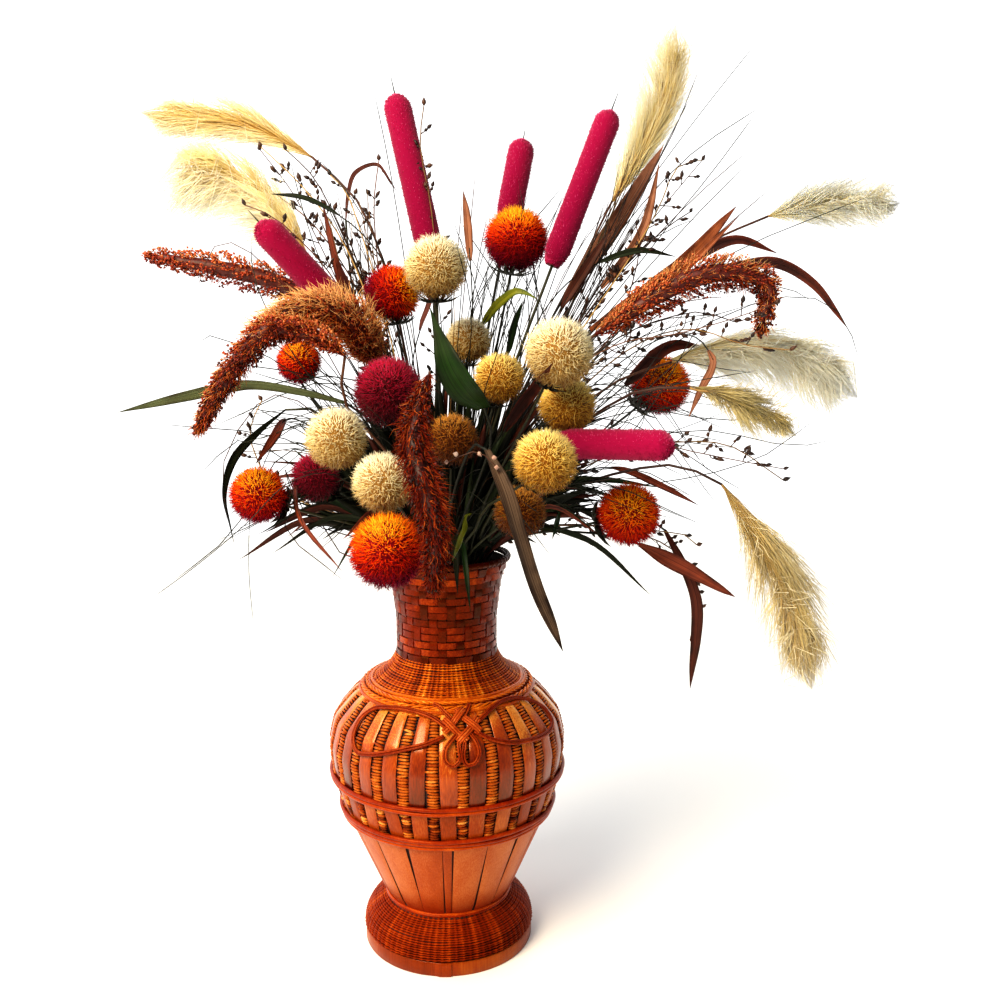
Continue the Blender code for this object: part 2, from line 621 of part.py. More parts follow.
def turned_frames(path):
    """A square pair of directions across the path at each point, turned as little as can be."""
    frames = []
    across = None
    for k in range(len(path)):
        along = path[min(k + 1, len(path) - 1)] - path[max(k - 1, 0)]
        along = along / max(np.linalg.norm(along), 1e-9)
        if across is None:
            across = np.cross(along, [0, 1.0, 0])
        across = across - along * across.dot(along)
        across = across / np.linalg.norm(across)
        frames.append((across, np.cross(along, across)))
    return frames


def add_plant(name, plan, curve):
    """One closed solid: the stem from the vase's floor, then the head, ending in a tip."""
    kind, _, _ = PLANTS[name]
    sides, flat = (KINDS[kind][1], KINDS[kind][2]) if kind in KINDS else (THISTLE_SIDES, 1.0)
    foot = [curve[0] * [1, 1, 0] + [0, 0, z] for z in (STEM_FOOT, NECK_LOW)]
    stem = foot + curve[:-1]
    path = stem + plan["centres"]
    radii = [plan["stem"]] * len(stem) + plan["radii"]
    frames = turned_frames(path)
    vertices, loops = [], []
    for k, radius in enumerate(radii):
        in_head = k >= len(stem)
        count = sides if in_head else 3
        thin = radius * flat if in_head else radius
        across, other = frames[k]
        first = len(vertices)
        for side in range(count):
            angle = 2 * math.pi * side / count
            vertices.append(path[k] + across * radius * math.cos(angle) + other * thin * math.sin(angle))
        loops.append(list(range(first, len(vertices))))
    tip = len(vertices)
    vertices.append(path[-1])
    faces = [tuple(loops[0])]
    for lower, upper in zip(loops, loops[1:]):
        faces += bridge(lower, upper)
    last = loops[-1]
    faces += [(last[k], last[(k + 1) % len(last)], tip) for k in range(len(last))]
    return add_solid(name, [tuple(v) for v in vertices], faces, kind)


def add_plants():
    names = list(PLANTS)
    plans = []
    for name in names:
        plan = plan_plant(name)
        kind, width, head = PLANTS[name]
        plan["ball"] = None if kind in KINDS else (np.array(head[0]), width)
        plans.append(plan)
    places = neck_places([plan["start"] for plan in plans])
    curves = [stem_curve(place, plan["start"], plan["direction"]) for place, plan in zip(places, plans)]
    for name, plan, curve in zip(names, plans, lean_apart(plans, curves)):
        add_plant(name, plan, curve)


clear_scene()
add_vase_body()
add_vase_rings()
add_knot()
add_plants()
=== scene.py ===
"""The looks of a woven bamboo vase of dried thistles, cattails, pampas, sorghum, leaves, twigs and grass.

Metres, +Z up. Each piece is drawn on, or in place of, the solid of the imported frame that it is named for.
"""

import math

import bpy
import numpy as np
from mathutils import Euler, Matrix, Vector


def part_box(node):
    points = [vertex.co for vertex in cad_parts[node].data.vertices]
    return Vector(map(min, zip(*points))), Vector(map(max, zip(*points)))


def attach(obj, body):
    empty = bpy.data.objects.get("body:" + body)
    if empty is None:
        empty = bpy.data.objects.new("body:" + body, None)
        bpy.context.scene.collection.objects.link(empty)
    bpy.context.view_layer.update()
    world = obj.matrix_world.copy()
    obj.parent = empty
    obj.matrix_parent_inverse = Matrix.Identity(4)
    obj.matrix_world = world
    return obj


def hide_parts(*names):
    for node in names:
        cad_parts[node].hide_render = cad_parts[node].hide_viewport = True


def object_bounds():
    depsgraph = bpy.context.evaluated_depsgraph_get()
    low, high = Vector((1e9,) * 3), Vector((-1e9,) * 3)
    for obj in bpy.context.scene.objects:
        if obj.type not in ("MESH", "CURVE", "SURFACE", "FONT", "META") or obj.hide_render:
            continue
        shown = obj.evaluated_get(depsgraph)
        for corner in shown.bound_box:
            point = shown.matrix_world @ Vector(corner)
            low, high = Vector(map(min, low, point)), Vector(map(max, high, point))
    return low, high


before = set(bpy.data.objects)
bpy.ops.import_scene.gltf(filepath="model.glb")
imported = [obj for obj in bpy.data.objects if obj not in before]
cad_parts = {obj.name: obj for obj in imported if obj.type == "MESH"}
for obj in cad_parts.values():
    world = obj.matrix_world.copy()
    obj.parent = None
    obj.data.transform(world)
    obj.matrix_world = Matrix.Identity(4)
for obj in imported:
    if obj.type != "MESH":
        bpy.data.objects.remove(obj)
CAD_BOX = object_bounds()

MM = 0.001
TURN = 2 * math.pi
UP = np.array([0.0, 0.0, 1.0])
TO_FRONT = np.array([0.0, -1.0, 0.0])

# The camera, as the photograph has it: its place, and how far it looks down and to the right.
PHOTO_SIZE, FOCAL_LENGTH = 1000, 1050  # pixels
SENSOR = 36.0  # millimetres
LOOKS_DOWN = 9  # degrees
LOOKS_RIGHT = 55  # pixels
CAMERA_PLACE = Vector((0.0, -1.16, 0.70))
CAMERA_TURN = Euler((math.radians(90 - LOOKS_DOWN), 0.0, -math.atan(LOOKS_RIGHT / FOCAL_LENGTH)))

# Forms

GOLDEN_ANGLE = math.pi * (3 - math.sqrt(5))


def unit(vectors):
    return vectors / np.maximum(np.linalg.norm(vectors, axis=-1, keepdims=True), 1e-12)


def seen(across, down, depth):
    """The place at that depth, its y, that shows at a point of the photograph, in pixels."""
    half = PHOTO_SIZE / 2
    ray = Vector(((across - half) / FOCAL_LENGTH, (half - down) / FOCAL_LENGTH, -1.0))
    ray.rotate(CAMERA_TURN)
    return np.array(CAMERA_PLACE + ray * ((depth - CAMERA_PLACE.y) / ray.y))


def curve_through(points, count):
    """Evenly spaced rows along a smooth curve through the given ones, whose first three values are a place."""
    points = np.asarray(points, float)
    gaps = np.linalg.norm(np.diff(points[:, :3], axis=0), axis=1)
    place = np.concatenate([[0], np.cumsum(gaps)])
    slope = np.gradient(points, place, axis=0)
    along = np.linspace(0, place[-1], count)
    span = np.clip(np.searchsorted(place, along, side="right") - 1, 0, len(gaps) - 1)
    t = ((along - place[span]) / gaps[span])[:, None]
    reach = gaps[span][:, None]
    start, end = points[span], points[span + 1]
    curve = (2 * t**3 - 3 * t**2 + 1) * start + (3 * t**2 - 2 * t**3) * end
    return curve + reach * ((t**3 - 2 * t**2 + t) * slope[span] + (t**3 - t**2) * slope[span + 1])


def rows_at(rows, place):
    """Rows between the given ones, by their place among them."""
    return np.stack([np.interp(place, np.arange(len(rows)), column) for column in rows.T], axis=-1)


def round_axis(axis, turn, aside):
    """Unit vectors square to an axis, turned round it from the one that is also square to aside."""
    side = unit(np.cross(axis, aside))
    return np.cos(turn)[:, None] * side + np.sin(turn)[:, None] * np.cross(axis, side)


def leaning(bearing, tilt, depth):
    """A way that leans from upright towards a bearing, with its share of depth, as the bouquet is shallow."""
    sideways = math.sin(tilt)
    return np.array([math.cos(bearing) * sideways, math.sin(bearing) * sideways * depth, math.cos(tilt)])


class Piece:
    """Gathers one visible piece. Each point has a tone, a share along its form, and a crown value."""

    def __init__(self):
        self.points, self.corners, self.sizes, self.finishes = [], [], [], []
        self.values = {"tone": [], "along": [], "crown": []}
        self.count = 0

    def add(self, points, faces, finish, **values):
        points = np.asarray(points, float).reshape(-1, 3)
        for group in faces:
            self.corners.append((group + self.count).ravel())
            self.sizes.append(np.full(len(group), group.shape[1]))
            self.finishes.append(np.full(len(group), finish))
        for name, store in self.values.items():
            store.append(np.broadcast_to(np.ravel(values.get(name, 0.0)), len(points)))
        self.points.append(points)
        self.count += len(points)

    def make(self, name, finishes, nodes=(), crease=180):
        """The piece's mesh, standing for its nodes, drawn sharp at edges of more than crease degrees."""
        mesh = bpy.data.meshes.new(name)
        corners, sizes = np.concatenate(self.corners), np.concatenate(self.sizes)
        mesh.vertices.add(self.count)
        mesh.vertices.foreach_set("co", np.concatenate(self.points).ravel().astype(np.float32))
        mesh.loops.add(len(corners))
        mesh.loops.foreach_set("vertex_index", corners.astype(np.int32))
        mesh.polygons.add(len(sizes))
        mesh.polygons.foreach_set("loop_start", (np.cumsum(sizes) - sizes).astype(np.int32))
        mesh.polygons.foreach_set("material_index", np.concatenate(self.finishes).astype(np.int32))
        for value, store in self.values.items():
            attribute = mesh.attributes.new(value, "FLOAT", "POINT")
            attribute.data.foreach_set("value", np.concatenate(store).astype(np.float32))
        for finish in finishes:
            mesh.materials.append(finish)
        mesh.update(calc_edges=True)
        mesh.validate()
        mesh.shade_smooth()
        if crease < 180:
            mesh.set_sharp_from_angle(angle=math.radians(crease))
        made = bpy.data.objects.new(name, mesh)
        bpy.context.scene.collection.objects.link(made)
        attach(made, "root")
        if nodes:
            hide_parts(*nodes)


def skin(piece, rings, tips=None, closed=False, capped=True, along=None, **values):
    """Forms through rings of points, (forms, rings, sides, 3). Tips end each form in a point, closed joins its
    ends, and one that isn't capped stays open at its hidden root."""
    forms, steps, sides, _ = rings.shape
    pointed = tips is not None
    points = rings.reshape(forms, -1, 3)
    if pointed:
        points = np.concatenate([points, tips[:, None]], axis=1)
    step, side = np.meshgrid(np.arange(steps if closed else steps - 1), np.arange(sides), indexing="ij")
    beside, after = (side + 1) % sides, (step + 1) % steps
    quads = [step * sides + side, step * sides + beside, after * sides + beside, after * sides + side]
    groups = [np.stack(quads, -1).reshape(-1, 4)]
    if capped and not closed:
        groups.append(np.arange(sides)[::-1][None])
    if not closed:
        last = (steps - 1) * sides + np.arange(sides)
        if pointed:
            groups.append(np.stack([last, np.roll(last, -1), np.full(sides, steps * sides)], -1))
        else:
            groups.append(last[None])
    first = np.arange(forms)[:, None, None] * points.shape[1]
    faces = [(group[None] + first).reshape(-1, group.shape[1]) for group in groups]
    repeats = [sides] * steps + [1] * pointed

    def for_points(value):
        """A value for each form, or for each form and ring, as one for each point."""
        value = np.asarray(value, float)
        if value.ndim < 2:
            value = value.reshape(-1, 1)
        return np.repeat(np.broadcast_to(value, (forms, len(repeats))), repeats, axis=1)

    along = np.linspace(0, 1, len(repeats))[None] if along is None else along
    spread = {
        name: for_points(value) for name, value in {"along": along, **values}.items() if name != "finish"
    }
    piece.add(points, faces, values.get("finish", 0), **spread)


def tubes(piece, paths, radii, sides=3, flat=1.0, turn=0.0, facing=None, ends="point", **values):
    """Tubes along paths, (forms, steps, 3), that end in a point, blunt or joined. Flat ones lie facing a way."""
    paths = np.asarray(paths, float)
    paths = paths[None] if paths.ndim == 2 else paths
    joined = ends == "joined"
    if joined:
        ahead = unit(np.roll(paths, -1, axis=1) - np.roll(paths, 1, axis=1))
    else:
        ahead = unit(np.gradient(paths, axis=1))
    if facing is not None:
        across = unit(np.cross(ahead, facing))
    else:
        across = np.empty_like(paths)
        upright = np.abs(ahead[:, :1, 2:]) > 0.9
        across[:, 0] = unit(np.cross(ahead[:, 0], np.where(upright, TO_FRONT, UP)[:, 0]))
        for k in range(1, paths.shape[1]):
            before = across[:, k - 1]
            across[:, k] = unit(before - ahead[:, k] * np.sum(before * ahead[:, k], axis=-1, keepdims=True))
    other = np.cross(ahead, across)
    angles = turn + TURN * np.arange(sides) / sides
    radii = np.broadcast_to(radii, paths.shape[:2])[..., None, None]
    ring = np.cos(angles)[:, None] * across[:, :, None] + flat * np.sin(angles)[:, None] * other[:, :, None]
    rings = paths[:, :, None] + radii * ring
    if ends == "point":
        skin(piece, rings[:, :-1], tips=paths[:, -1], **values)
    else:
        skin(piece, rings, closed=joined, **values)


def bent(roots, tips, bows, steps):
    """Paths from roots to tips, each bowed by a vector at its middle."""
    t = np.linspace(0, 1, steps)[None, :, None]
    return roots[:, None] * (1 - t) + tips[:, None] * t + bows[:, None] * (4 * t * (1 - t))


# Finishes


def linear(hex_colour):
    """An sRGB hex colour as the linear values that a shader takes."""
    values = [int(hex_colour[k : k + 2], 16) / 255 for k in (1, 3, 5)]
    return (*(v / 12.92 if v <= 0.04045 else ((v + 0.055) / 1.055) ** 2.4 for v in values), 1.0)


def add_node(tree, kind, inputs=None, stops=None, **settings):
    """Adds a node and gives its outputs. Its inputs are values or sockets, and its stops a ramp's colours."""
    made = tree.nodes.new("ShaderNode" + kind)
    for name, value in settings.items():
        setattr(made, name, value)
    for name, value in (inputs or {}).items():
        if isinstance(value, bpy.types.NodeSocket):
            tree.links.new(value, made.inputs[name])
        else:
            made.inputs[name].default_value = value
    if stops:
        elements = made.color_ramp.elements
        while len(elements) < len(stops):
            elements.new(1.0)
        for element, (place, colour) in zip(elements, stops):
            element.position, element.color = place, linear(colour)
    return made.outputs


MIX_FACTOR, MIX_A, MIX_B, MIX_RESULT = 0, 6, 7, 2  # the colour sockets of a mix node


def new_finish(name, *values):
    """A new finish and its node tree, with the sockets of those of the piece's values that it reads."""
    material = bpy.data.materials.new(name)
    material.use_nodes = True
    tree = material.node_tree
    tree.nodes.clear()
    return material, tree, *(add_node(tree, "Attribute", attribute_name=value)["Fac"] for value in values)


def grain(tree, size_mm, stretch=(1, 1, 1), detail=2.0):
    """Noise whose features are that many millimetres across, stretched that many times along each axis."""
    place = add_node(tree, "TexCoord")["Object"]
    spread = add_node(tree, "Mapping", {"Vector": place, "Scale": [1 / s for s in stretch]})[0]
    return add_node(
        tree, "TexNoise", {"Vector": spread, "Scale": 1 / (size_mm * MM), "Detail": detail}
    )["Fac"]


def shaded(tree, stops, base, terms, less):
    """The ramp's colour at a base value with weighted terms added to it, less an amount."""
    for source, weight in terms:
        base = add_node(tree, "Math", {0: source, 1: weight, 2: base}, operation="MULTIPLY_ADD")[0]
    level = add_node(tree, "Math", {0: base, 1: less}, operation="SUBTRACT")[0]
    return add_node(tree, "ValToRGB", {"Fac": level}, stops=stops)[0]


def lit(tree, colour, bump=None, bump_mm=0.0, **settings):
    """Ends a finish: the colour and its bump on one shader, whose other sockets take plain values."""
    inputs = {"Base Color": colour, **settings}
    if bump is not None:
        inputs["Normal"] = add_node(tree, "Bump", {"Height": bump, "Distance": bump_mm * MM})[0]
    shader = add_node(tree, "BsdfPrincipled", inputs)[0]
    add_node(tree, "OutputMaterial", {"Surface": shader})


AMBER = linear("#FF9A3C")


def varnish(roughness, gloss, coat):
    """The shader's values for a varnished surface. The varnish tints what it reflects."""
    reflected = {
        "Roughness": roughness, "IOR": 1.5, "Specular IOR Level": 0.1 + gloss, "Specular Tint": AMBER
    }
    return {**reflected, "Coat Weight": coat * gloss, "Coat Roughness": 0.2}


def varnished_bamboo(name, stops, roughness, gloss, foot=None):
    """Split bamboo, stained and varnished: fine fibres run up each slat under a gloss, and every slat took
    the stain differently. Where foot gives a colour, each slat turns to it towards its foot."""
    material, tree, tone, along = new_finish(name, "tone", "along")
    fibres = grain(tree, 1.2, (1, 1, 24), 3.0)
    patches = grain(tree, 22, (1, 1, 2.5))
    levels = {"From Min": 0.3, "From Max": 0.7, "To Min": -0.12, "To Max": 0.12}
    shade = add_node(tree, "MapRange", {"Value": fibres, **levels})[0]
    colour = shaded(tree, stops, tone, ((shade, 1.0), (patches, 0.55)), 0.27)
    if foot:
        towards_foot = add_node(tree, "MapRange", {"Value": along, "From Min": 0.3, "From Max": 0.0})[0]
        foot_colours = {MIX_FACTOR: towards_foot, MIX_A: colour, MIX_B: linear(foot)}
        colour = add_node(tree, "Mix", foot_colours, data_type="RGBA")[MIX_RESULT]
    lit(tree, colour, bump=fibres, bump_mm=0.25, **varnish(roughness, gloss, 0.7))
    return material


def stained_cane(name, stops, roughness, gloss):
    """Round rattan core, stained: dull fibres, darker where the stain pooled, under a thin varnish."""
    material, tree, tone = new_finish(name, "tone")
    flecks = grain(tree, 2.0, detail=3.0)
    colour = shaded(tree, stops, tone, ((flecks, 0.5), (grain(tree, 14), 0.5)), 0.5)
    lit(tree, colour, bump=flecks, bump_mm=0.3, **varnish(roughness, gloss, 0.2))
    return material


def painted_shade_backing():
    """Painted shade: a near-black brown for the inside and the gaps of the weave, where shadow falls."""
    material, tree = new_finish("cane_in_shadow")
    colour = add_node(
        tree, "ValToRGB", {"Fac": grain(tree, 5)}, stops=((0.3, "#1A0602"), (0.7, "#381003"))
    )[0]
    lit(tree, colour, Roughness=0.8)
    return material


def dried_fibre(name, crown_stops, root, roughness=0.75, sheen=0.1, root_reach=0.55, glow=0.15, shades=0.34):
    """Dried bristle, nap or hair: each fibre has its own tone. Towards its root it takes the root colour, partly
    its own darker base and partly painted shade deep among the fibres, and its tip takes the crown's colour,
    with a little light let through.
    """
    material, tree, tone, crown, along = new_finish(name, "tone", "crown", "along")
    colour = shaded(tree, crown_stops, crown, ((tone, shades),), shades / 2)
    # painted shade in part: near its root a fibre takes the dark root colour
    depth = add_node(tree, "MapRange", {"Value": along, "From Max": root_reach})[0]
    ends = {MIX_FACTOR: depth, MIX_A: linear(root), MIX_B: colour}
    colour = add_node(tree, "Mix", ends, data_type="RGBA")[MIX_RESULT]
    settings = {"Roughness": roughness, "IOR": 1.45, "Specular IOR Level": 0.1, "Sheen Weight": sheen}
    settings |= {
        "Subsurface Weight": glow, "Subsurface Radius": (0.004, 0.003, 0.002), "Subsurface Scale": 0.5
    }
    lit(tree, colour, **settings)
    return material


def dried_leaf(name, blade, edge, vein, vein_mm=1.4, roughness=0.5):
    """A dried strap leaf: matt with a little wax, brown at its edges and tip, with fine parallel veins."""
    material, tree, tone, crown = new_finish(name, "tone", "crown")
    inputs = {"W": tone, "Scale": 1 / vein_mm, "Detail": 3.0}
    streaks = add_node(tree, "TexNoise", inputs, noise_dimensions="1D")[0]
    colour = add_node(tree, "ValToRGB", {"Fac": streaks}, stops=((0.36, vein), (0.62, blade)))[0]
    worn = add_node(tree, "Math", {0: crown, 1: grain(tree, 18)}, operation="MULTIPLY")[0]
    worn = add_node(tree, "MapRange", {"Value": worn, "From Min": 0.2, "From Max": 0.6})[0]
    sides = {MIX_FACTOR: worn, MIX_A: colour, MIX_B: linear(edge)}
    colour = add_node(tree, "Mix", sides, data_type="RGBA")[MIX_RESULT]
    settings = {"Roughness": roughness, "IOR": 1.45, "Specular IOR Level": 0.2}
    lit(tree, colour, bump=streaks, bump_mm=0.25, **settings)
    return material


def dry_stem(name, stops, roughness=0.6):
    """A dried stalk: bark-like streaks along it, and a shade of its own."""
    material, tree, tone = new_finish(name, "tone")
    streaks = grain(tree, 2.5, (1, 1, 6), 3.0)
    colour = shaded(tree, stops, tone, ((streaks, 0.6),), 0.3)
    lit(tree, colour, bump=streaks, bump_mm=0.15, Roughness=roughness, IOR=1.45)
    return material


# Its pale top colour is reached at the upper slats' tops: a painted highlight.
UPPER_SLAT = varnished_bamboo(
    "amber_varnished_bamboo", ((0.0, "#3E0B02"), (0.3, "#701E03"), (0.6, "#A04008"), (1.0, "#F0A848")), 0.3,
    0.7
)
BETWEEN_SLAT = varnished_bamboo(
    "tan_varnished_bamboo", ((0.0, "#521602"), (0.45, "#903608"), (1.0, "#C87434")), 0.4, 0.2
)
LOWER_SLAT = varnished_bamboo(
    "salmon_split_bamboo", ((0.0, "#722406"), (0.45, "#A04414"), (1.0, "#C67640")), 0.45, 0.12, foot="#761802"
)
HOOP_STRIP = varnished_bamboo(
    "bamboo_hoop_strip", ((0.0, "#541603"), (0.5, "#822E06"), (1.0, "#AC5A18")), 0.4, 0.2
)
PLAITED_STRIP = stained_cane(
    "stained_plaiting_strip", ((0.0, "#1C0300"), (0.35, "#3C0801"), (0.7, "#6C1802"), (1.0, "#A44010")), 0.34,
    0.22
)
FOOT_WICKER = stained_cane(
    "foot_wicker_cane", ((0.0, "#4A1002"), (0.4, "#7E2404"), (0.75, "#A03C0A"), (1.0, "#C4642A")), 0.45, 0.06
)
SHOULDER_WICKER = stained_cane(
    "shoulder_wicker_cane", ((0.0, "#561403"), (0.4, "#A23E06"), (0.75, "#D67216"), (1.0, "#FFC058")), 0.34,
    0.35
)
COLUMN_WICKER = stained_cane(
    "belly_wicker_cane", ((0.0, "#3C0D02"), (0.4, "#84300A"), (0.75, "#B45E1C"), (1.0, "#DC9648")), 0.38, 0.16
)
BAND_CANE = stained_cane(
    "band_cane", ((0.0, "#3E0A01"), (0.4, "#842003"), (0.75, "#AE440A"), (1.0, "#DA7A2C")), 0.36, 0.25
)
KNOT_CANE = stained_cane(
    "knot_cane", ((0.0, "#2E0602"), (0.4, "#741E06"), (0.75, "#AE4A18"), (1.0, "#DE8C4A")), 0.36, 0.25
)
CANE_SHADOW = painted_shade_backing()

# The vase


def outline_of_shell():
    """The vase's outline from its solid: length up the wall, radius, height, and the wall's outward normal."""
    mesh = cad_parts["vase_body"].data
    widest = {}
    for face in mesh.polygons:
        centre = face.center
        outward = (face.normal.x * centre.x + face.normal.y * centre.y) / math.hypot(centre.x, centre.y)
        if outward < 0.3:
            continue
        for corner in face.vertices:
            place = mesh.vertices[corner].co
            height = round(place.z, 4)
            widest[height] = max(widest.get(height, 0.0), math.hypot(place.x, place.y))
    corners = np.array(
        [(radius, height) for height, radius in sorted(widest.items()) if height > FOOT_TOP_OF_HOOP]
    )
    lengths = np.concatenate([[0], np.cumsum(np.hypot(*np.diff(corners, axis=0).T))])
    along = np.linspace(0, lengths[-1], 700)
    radius, height = (np.interp(along, lengths, column) for column in corners.T)
    for _ in range(2):
        padded = np.pad([radius, height], ((0, 0), (ROUNDING, ROUNDING)), mode="reflect", reflect_type="odd")
        radius, height = (
            np.convolve(row, np.ones(2 * ROUNDING + 1) / (2 * ROUNDING + 1), "valid") for row in padded
        )
    steps = np.hypot(np.diff(radius), np.diff(height))
    slope = unit(np.stack([np.gradient(radius), np.gradient(height)], axis=-1))
    return np.concatenate([[0], np.cumsum(steps)]), radius, height, slope[:, 1], -slope[:, 0]


FOOT_TOP_OF_HOOP = 0.0172  # above the step that the hoop sits on
ROUNDING = 7  # points to each side, 6 mm, that smooth the outline's corners
ARC, WALL_RADIUS, WALL_HEIGHT, NORMAL_OUT, NORMAL_UP = outline_of_shell()


def arc_at(height):
    """How far up the wall a height is."""
    return np.interp(height, WALL_HEIGHT, ARC)


def on_wall(arc, bearing, lift=0.0):
    """Points that far up the wall and round from the front, in radians, lifted off the slats' faces."""
    arc, bearing, lift = np.broadcast_arrays(arc, bearing, lift)
    radius = np.interp(arc, ARC, WALL_RADIUS) + lift * np.interp(arc, ARC, NORMAL_OUT)
    height = np.interp(arc, ARC, WALL_HEIGHT) + lift * np.interp(arc, ARC, NORMAL_UP)
    return np.stack([radius * np.sin(bearing), -radius * np.cos(bearing), height], axis=-1)


# Heights on the vase, in metres, from its foot to its mouth.
HOOP_HEIGHT, WAIST, LOWER_BAND, UPPER_BAND, BELLY_TOP = 0.016, 0.0575, 0.167, 0.209, 0.306
SHOULDER, NECK_FOOT, NECK_TOP = 0.310, 0.342, 0.449
# The weave: how many slats and spokes go round, and how far apart its rows of cane are.
SLATS, SPOKES = 26, 78
SLAT_PITCH = TURN / SLATS
NARROW_SLAT = 0.54  # share of the pitch, above the upper band
WIDE_LOWER_SLATS, NARROW_LOWER_SLAT, NARROW_LOWER_AT = 18, 0.094, -0.009  # a count, and radians
SLAT_THICK, SLAT_CROWN = 1.4 * MM, 0.14 * MM
FOOT_PITCH, SHOULDER_PITCH, RUNG_PITCH = 2.6 * MM, 2.8 * MM, 3.4 * MM
PLAIT_TALL, PLAITS_ROUND = 7.8 * MM, 36  # the second a multiple of three
LINING_OUTSIDE, LINING_INSIDE = -2.4 * MM, -4.0 * MM  # from the slats' faces
BAND_RADIUS = 2.4 * MM
ROPE_STRANDS = 3
SEED = 7


def wicker_rows(piece, low, high, pitch, rng):
    """Rows of fine cane woven round spokes, whose front passes stand one above another as ribs."""
    arcs = np.arange(arc_at(low) + pitch / 2, arc_at(high), pitch)
    bearing = np.linspace(0, TURN, SPOKES * 3, endpoint=False)
    wave = np.cos(SPOKES * bearing[None] + 0 * arcs[:, None])
    drift = rng.normal(0, 0.1, (len(arcs), 24))
    wander = np.array([np.interp(bearing, np.linspace(0, TURN, 24), row, period=TURN) for row in drift])
    paths = on_wall(arcs[:, None] + wander * pitch, bearing[None], -1.1 * MM + 0.55 * MM * wave)
    blocks = rng.normal(0, 0.16, SPOKES)[(np.arange(SPOKES * 3) + 1) // 3 % SPOKES]
    # painted shade: each row is darker where it dips in behind a spoke and lighter where it passes out over one
    tone = 0.5 + 0.13 * wave + 0.8 * blocks + rng.normal(0, 0.07, (len(arcs), 1))
    radius = pitch * (0.54 + 0.04 * wave)
    tubes(piece, paths, radius, facing=UP, ends="joined", tone=tone)


def wall_strips(piece, bearings, arcs, half, tone, finish):
    """Flat strips up the wall, crowned across their width, each round its own bearing."""
    across = np.array([-1.0, -0.86, -0.45, 0.0, 0.45, 0.86, 1.0, 0.9, -0.9])
    crowned = SLAT_CROWN * np.array([0, 0, 0.8, 1, 0.8, 0, 0, 0, 0])
    height = crowned - SLAT_THICK * np.array([0.45, 0, 0, 0, 0, 0, 0.45, 1, 1])
    bearing = bearings[:, :, None] + half[:, :, None] * across
    skin(piece, on_wall(arcs[..., None], bearing, height), tone=tone, finish=finish)


def lower_slats():
    """Bearings and half-widths of the slats below the lower band: wide ones, and a narrow one in front."""
    wide = (TURN - NARROW_LOWER_SLAT) / WIDE_LOWER_SLATS
    wide_ones = NARROW_LOWER_AT + NARROW_LOWER_SLAT / 2 + wide * (np.arange(WIDE_LOWER_SLATS) + 0.5)
    bearings = np.concatenate([[NARROW_LOWER_AT], wide_ones])
    half = np.concatenate([[NARROW_LOWER_SLAT], np.full(WIDE_LOWER_SLATS, wide)]) / 2
    return bearings, half


def add_slats(rng):
    """Bamboo slats: wide and close below the lower band, narrow with wicker between them above it."""
    piece = Piece()
    above, half_pitch = np.arange(SLATS) * SLAT_PITCH, np.full(SLATS, SLAT_PITCH / 2)
    stretches = (
        (WAIST, LOWER_BAND, lower_slats(), 0.945, 22, 1),
        (LOWER_BAND, UPPER_BAND, (above, half_pitch), 0.56, 8, 2),
        (UPPER_BAND, BELLY_TOP, (above, half_pitch), NARROW_SLAT, 24, 0),
    )
    for low, high, (bearings, half), share, steps, finish in stretches:
        arcs = np.linspace(arc_at(low), arc_at(high), steps)
        radius = np.interp(arcs, ARC, WALL_RADIUS)
        count = len(bearings)
        lean = rng.normal(0, 0.008, (count, 1)) * np.linspace(-1, 1, steps)
        half = half[:, None] * share * np.ones(steps)
        tone = rng.uniform(0.3, 0.7, (count, 1)) + np.zeros(steps)
        if finish == 0:
            half *= rng.normal(1, 0.03, (count, 1)) * np.interp(radius, (0.095, 0.13), (0.86, 1.0))
            # painted highlight and shade: each upper slat is lighter towards its top, where the key light's
            # reflection falls, and darker below
            tone = tone + np.linspace(-0.3, 0.32, steps)
        wall_strips(piece, bearings[:, None] + lean, arcs[None] + 0 * half, half, tone, finish)
    piece.make("bamboo_slats", (UPPER_SLAT, LOWER_SLAT, BETWEEN_SLAT), ("vase_body",), crease=50)


def add_columns(rng):
    """Short canes one above another between the slats, fatter at their middles, as the weave shows there."""
    piece = Piece()
    across = np.linspace(-1, 1, 5)
    for low, high, share, mottled in (
        (LOWER_BAND, UPPER_BAND, 0.40, True), (UPPER_BAND, BELLY_TOP, 0.44, False)
    ):
        arcs = np.arange(arc_at(low), arc_at(high), RUNG_PITCH)
        arc, bearing = (grid.ravel() for grid in np.meshgrid(arcs, (np.arange(SLATS) + 0.5) * SLAT_PITCH))
        count = len(arc)
        bearing = bearing + rng.normal(0, 0.02, count) * SLAT_PITCH
        half = SLAT_PITCH * share / 2 * rng.uniform(0.9, 1.05, count) * np.interp(
            arc, (arcs[0], arcs[-1]), (1.0, 0.92)
        )
        tilt = rng.normal(0, 0.12, count) * RUNG_PITCH
        lift = (-1.4 + 1.3 * (1 - across**2)) * MM
        paths = on_wall(
            arc[:, None] + tilt[:, None] * across, bearing[:, None] + half[:, None] * across, lift[None]
        )
        fat = RUNG_PITCH * (0.34 + 0.17 * (1 - across**2)) * rng.uniform(0.85, 1.1, count)[:, None]
        tone = rng.uniform(0.0, 1.0, count) ** 1.1 if mottled else rng.normal(0.68, 0.08, count)
        # painted shade: each rung is darker towards its ends, where it dips in under the slats
        tubes(
            piece, paths, fat, sides=4, facing=UP, ends="blunt", tone=tone[:, None] - 0.3 * across[None] ** 4
        )
    piece.make("belly_wicker", (COLUMN_WICKER,), ("vase_body",))


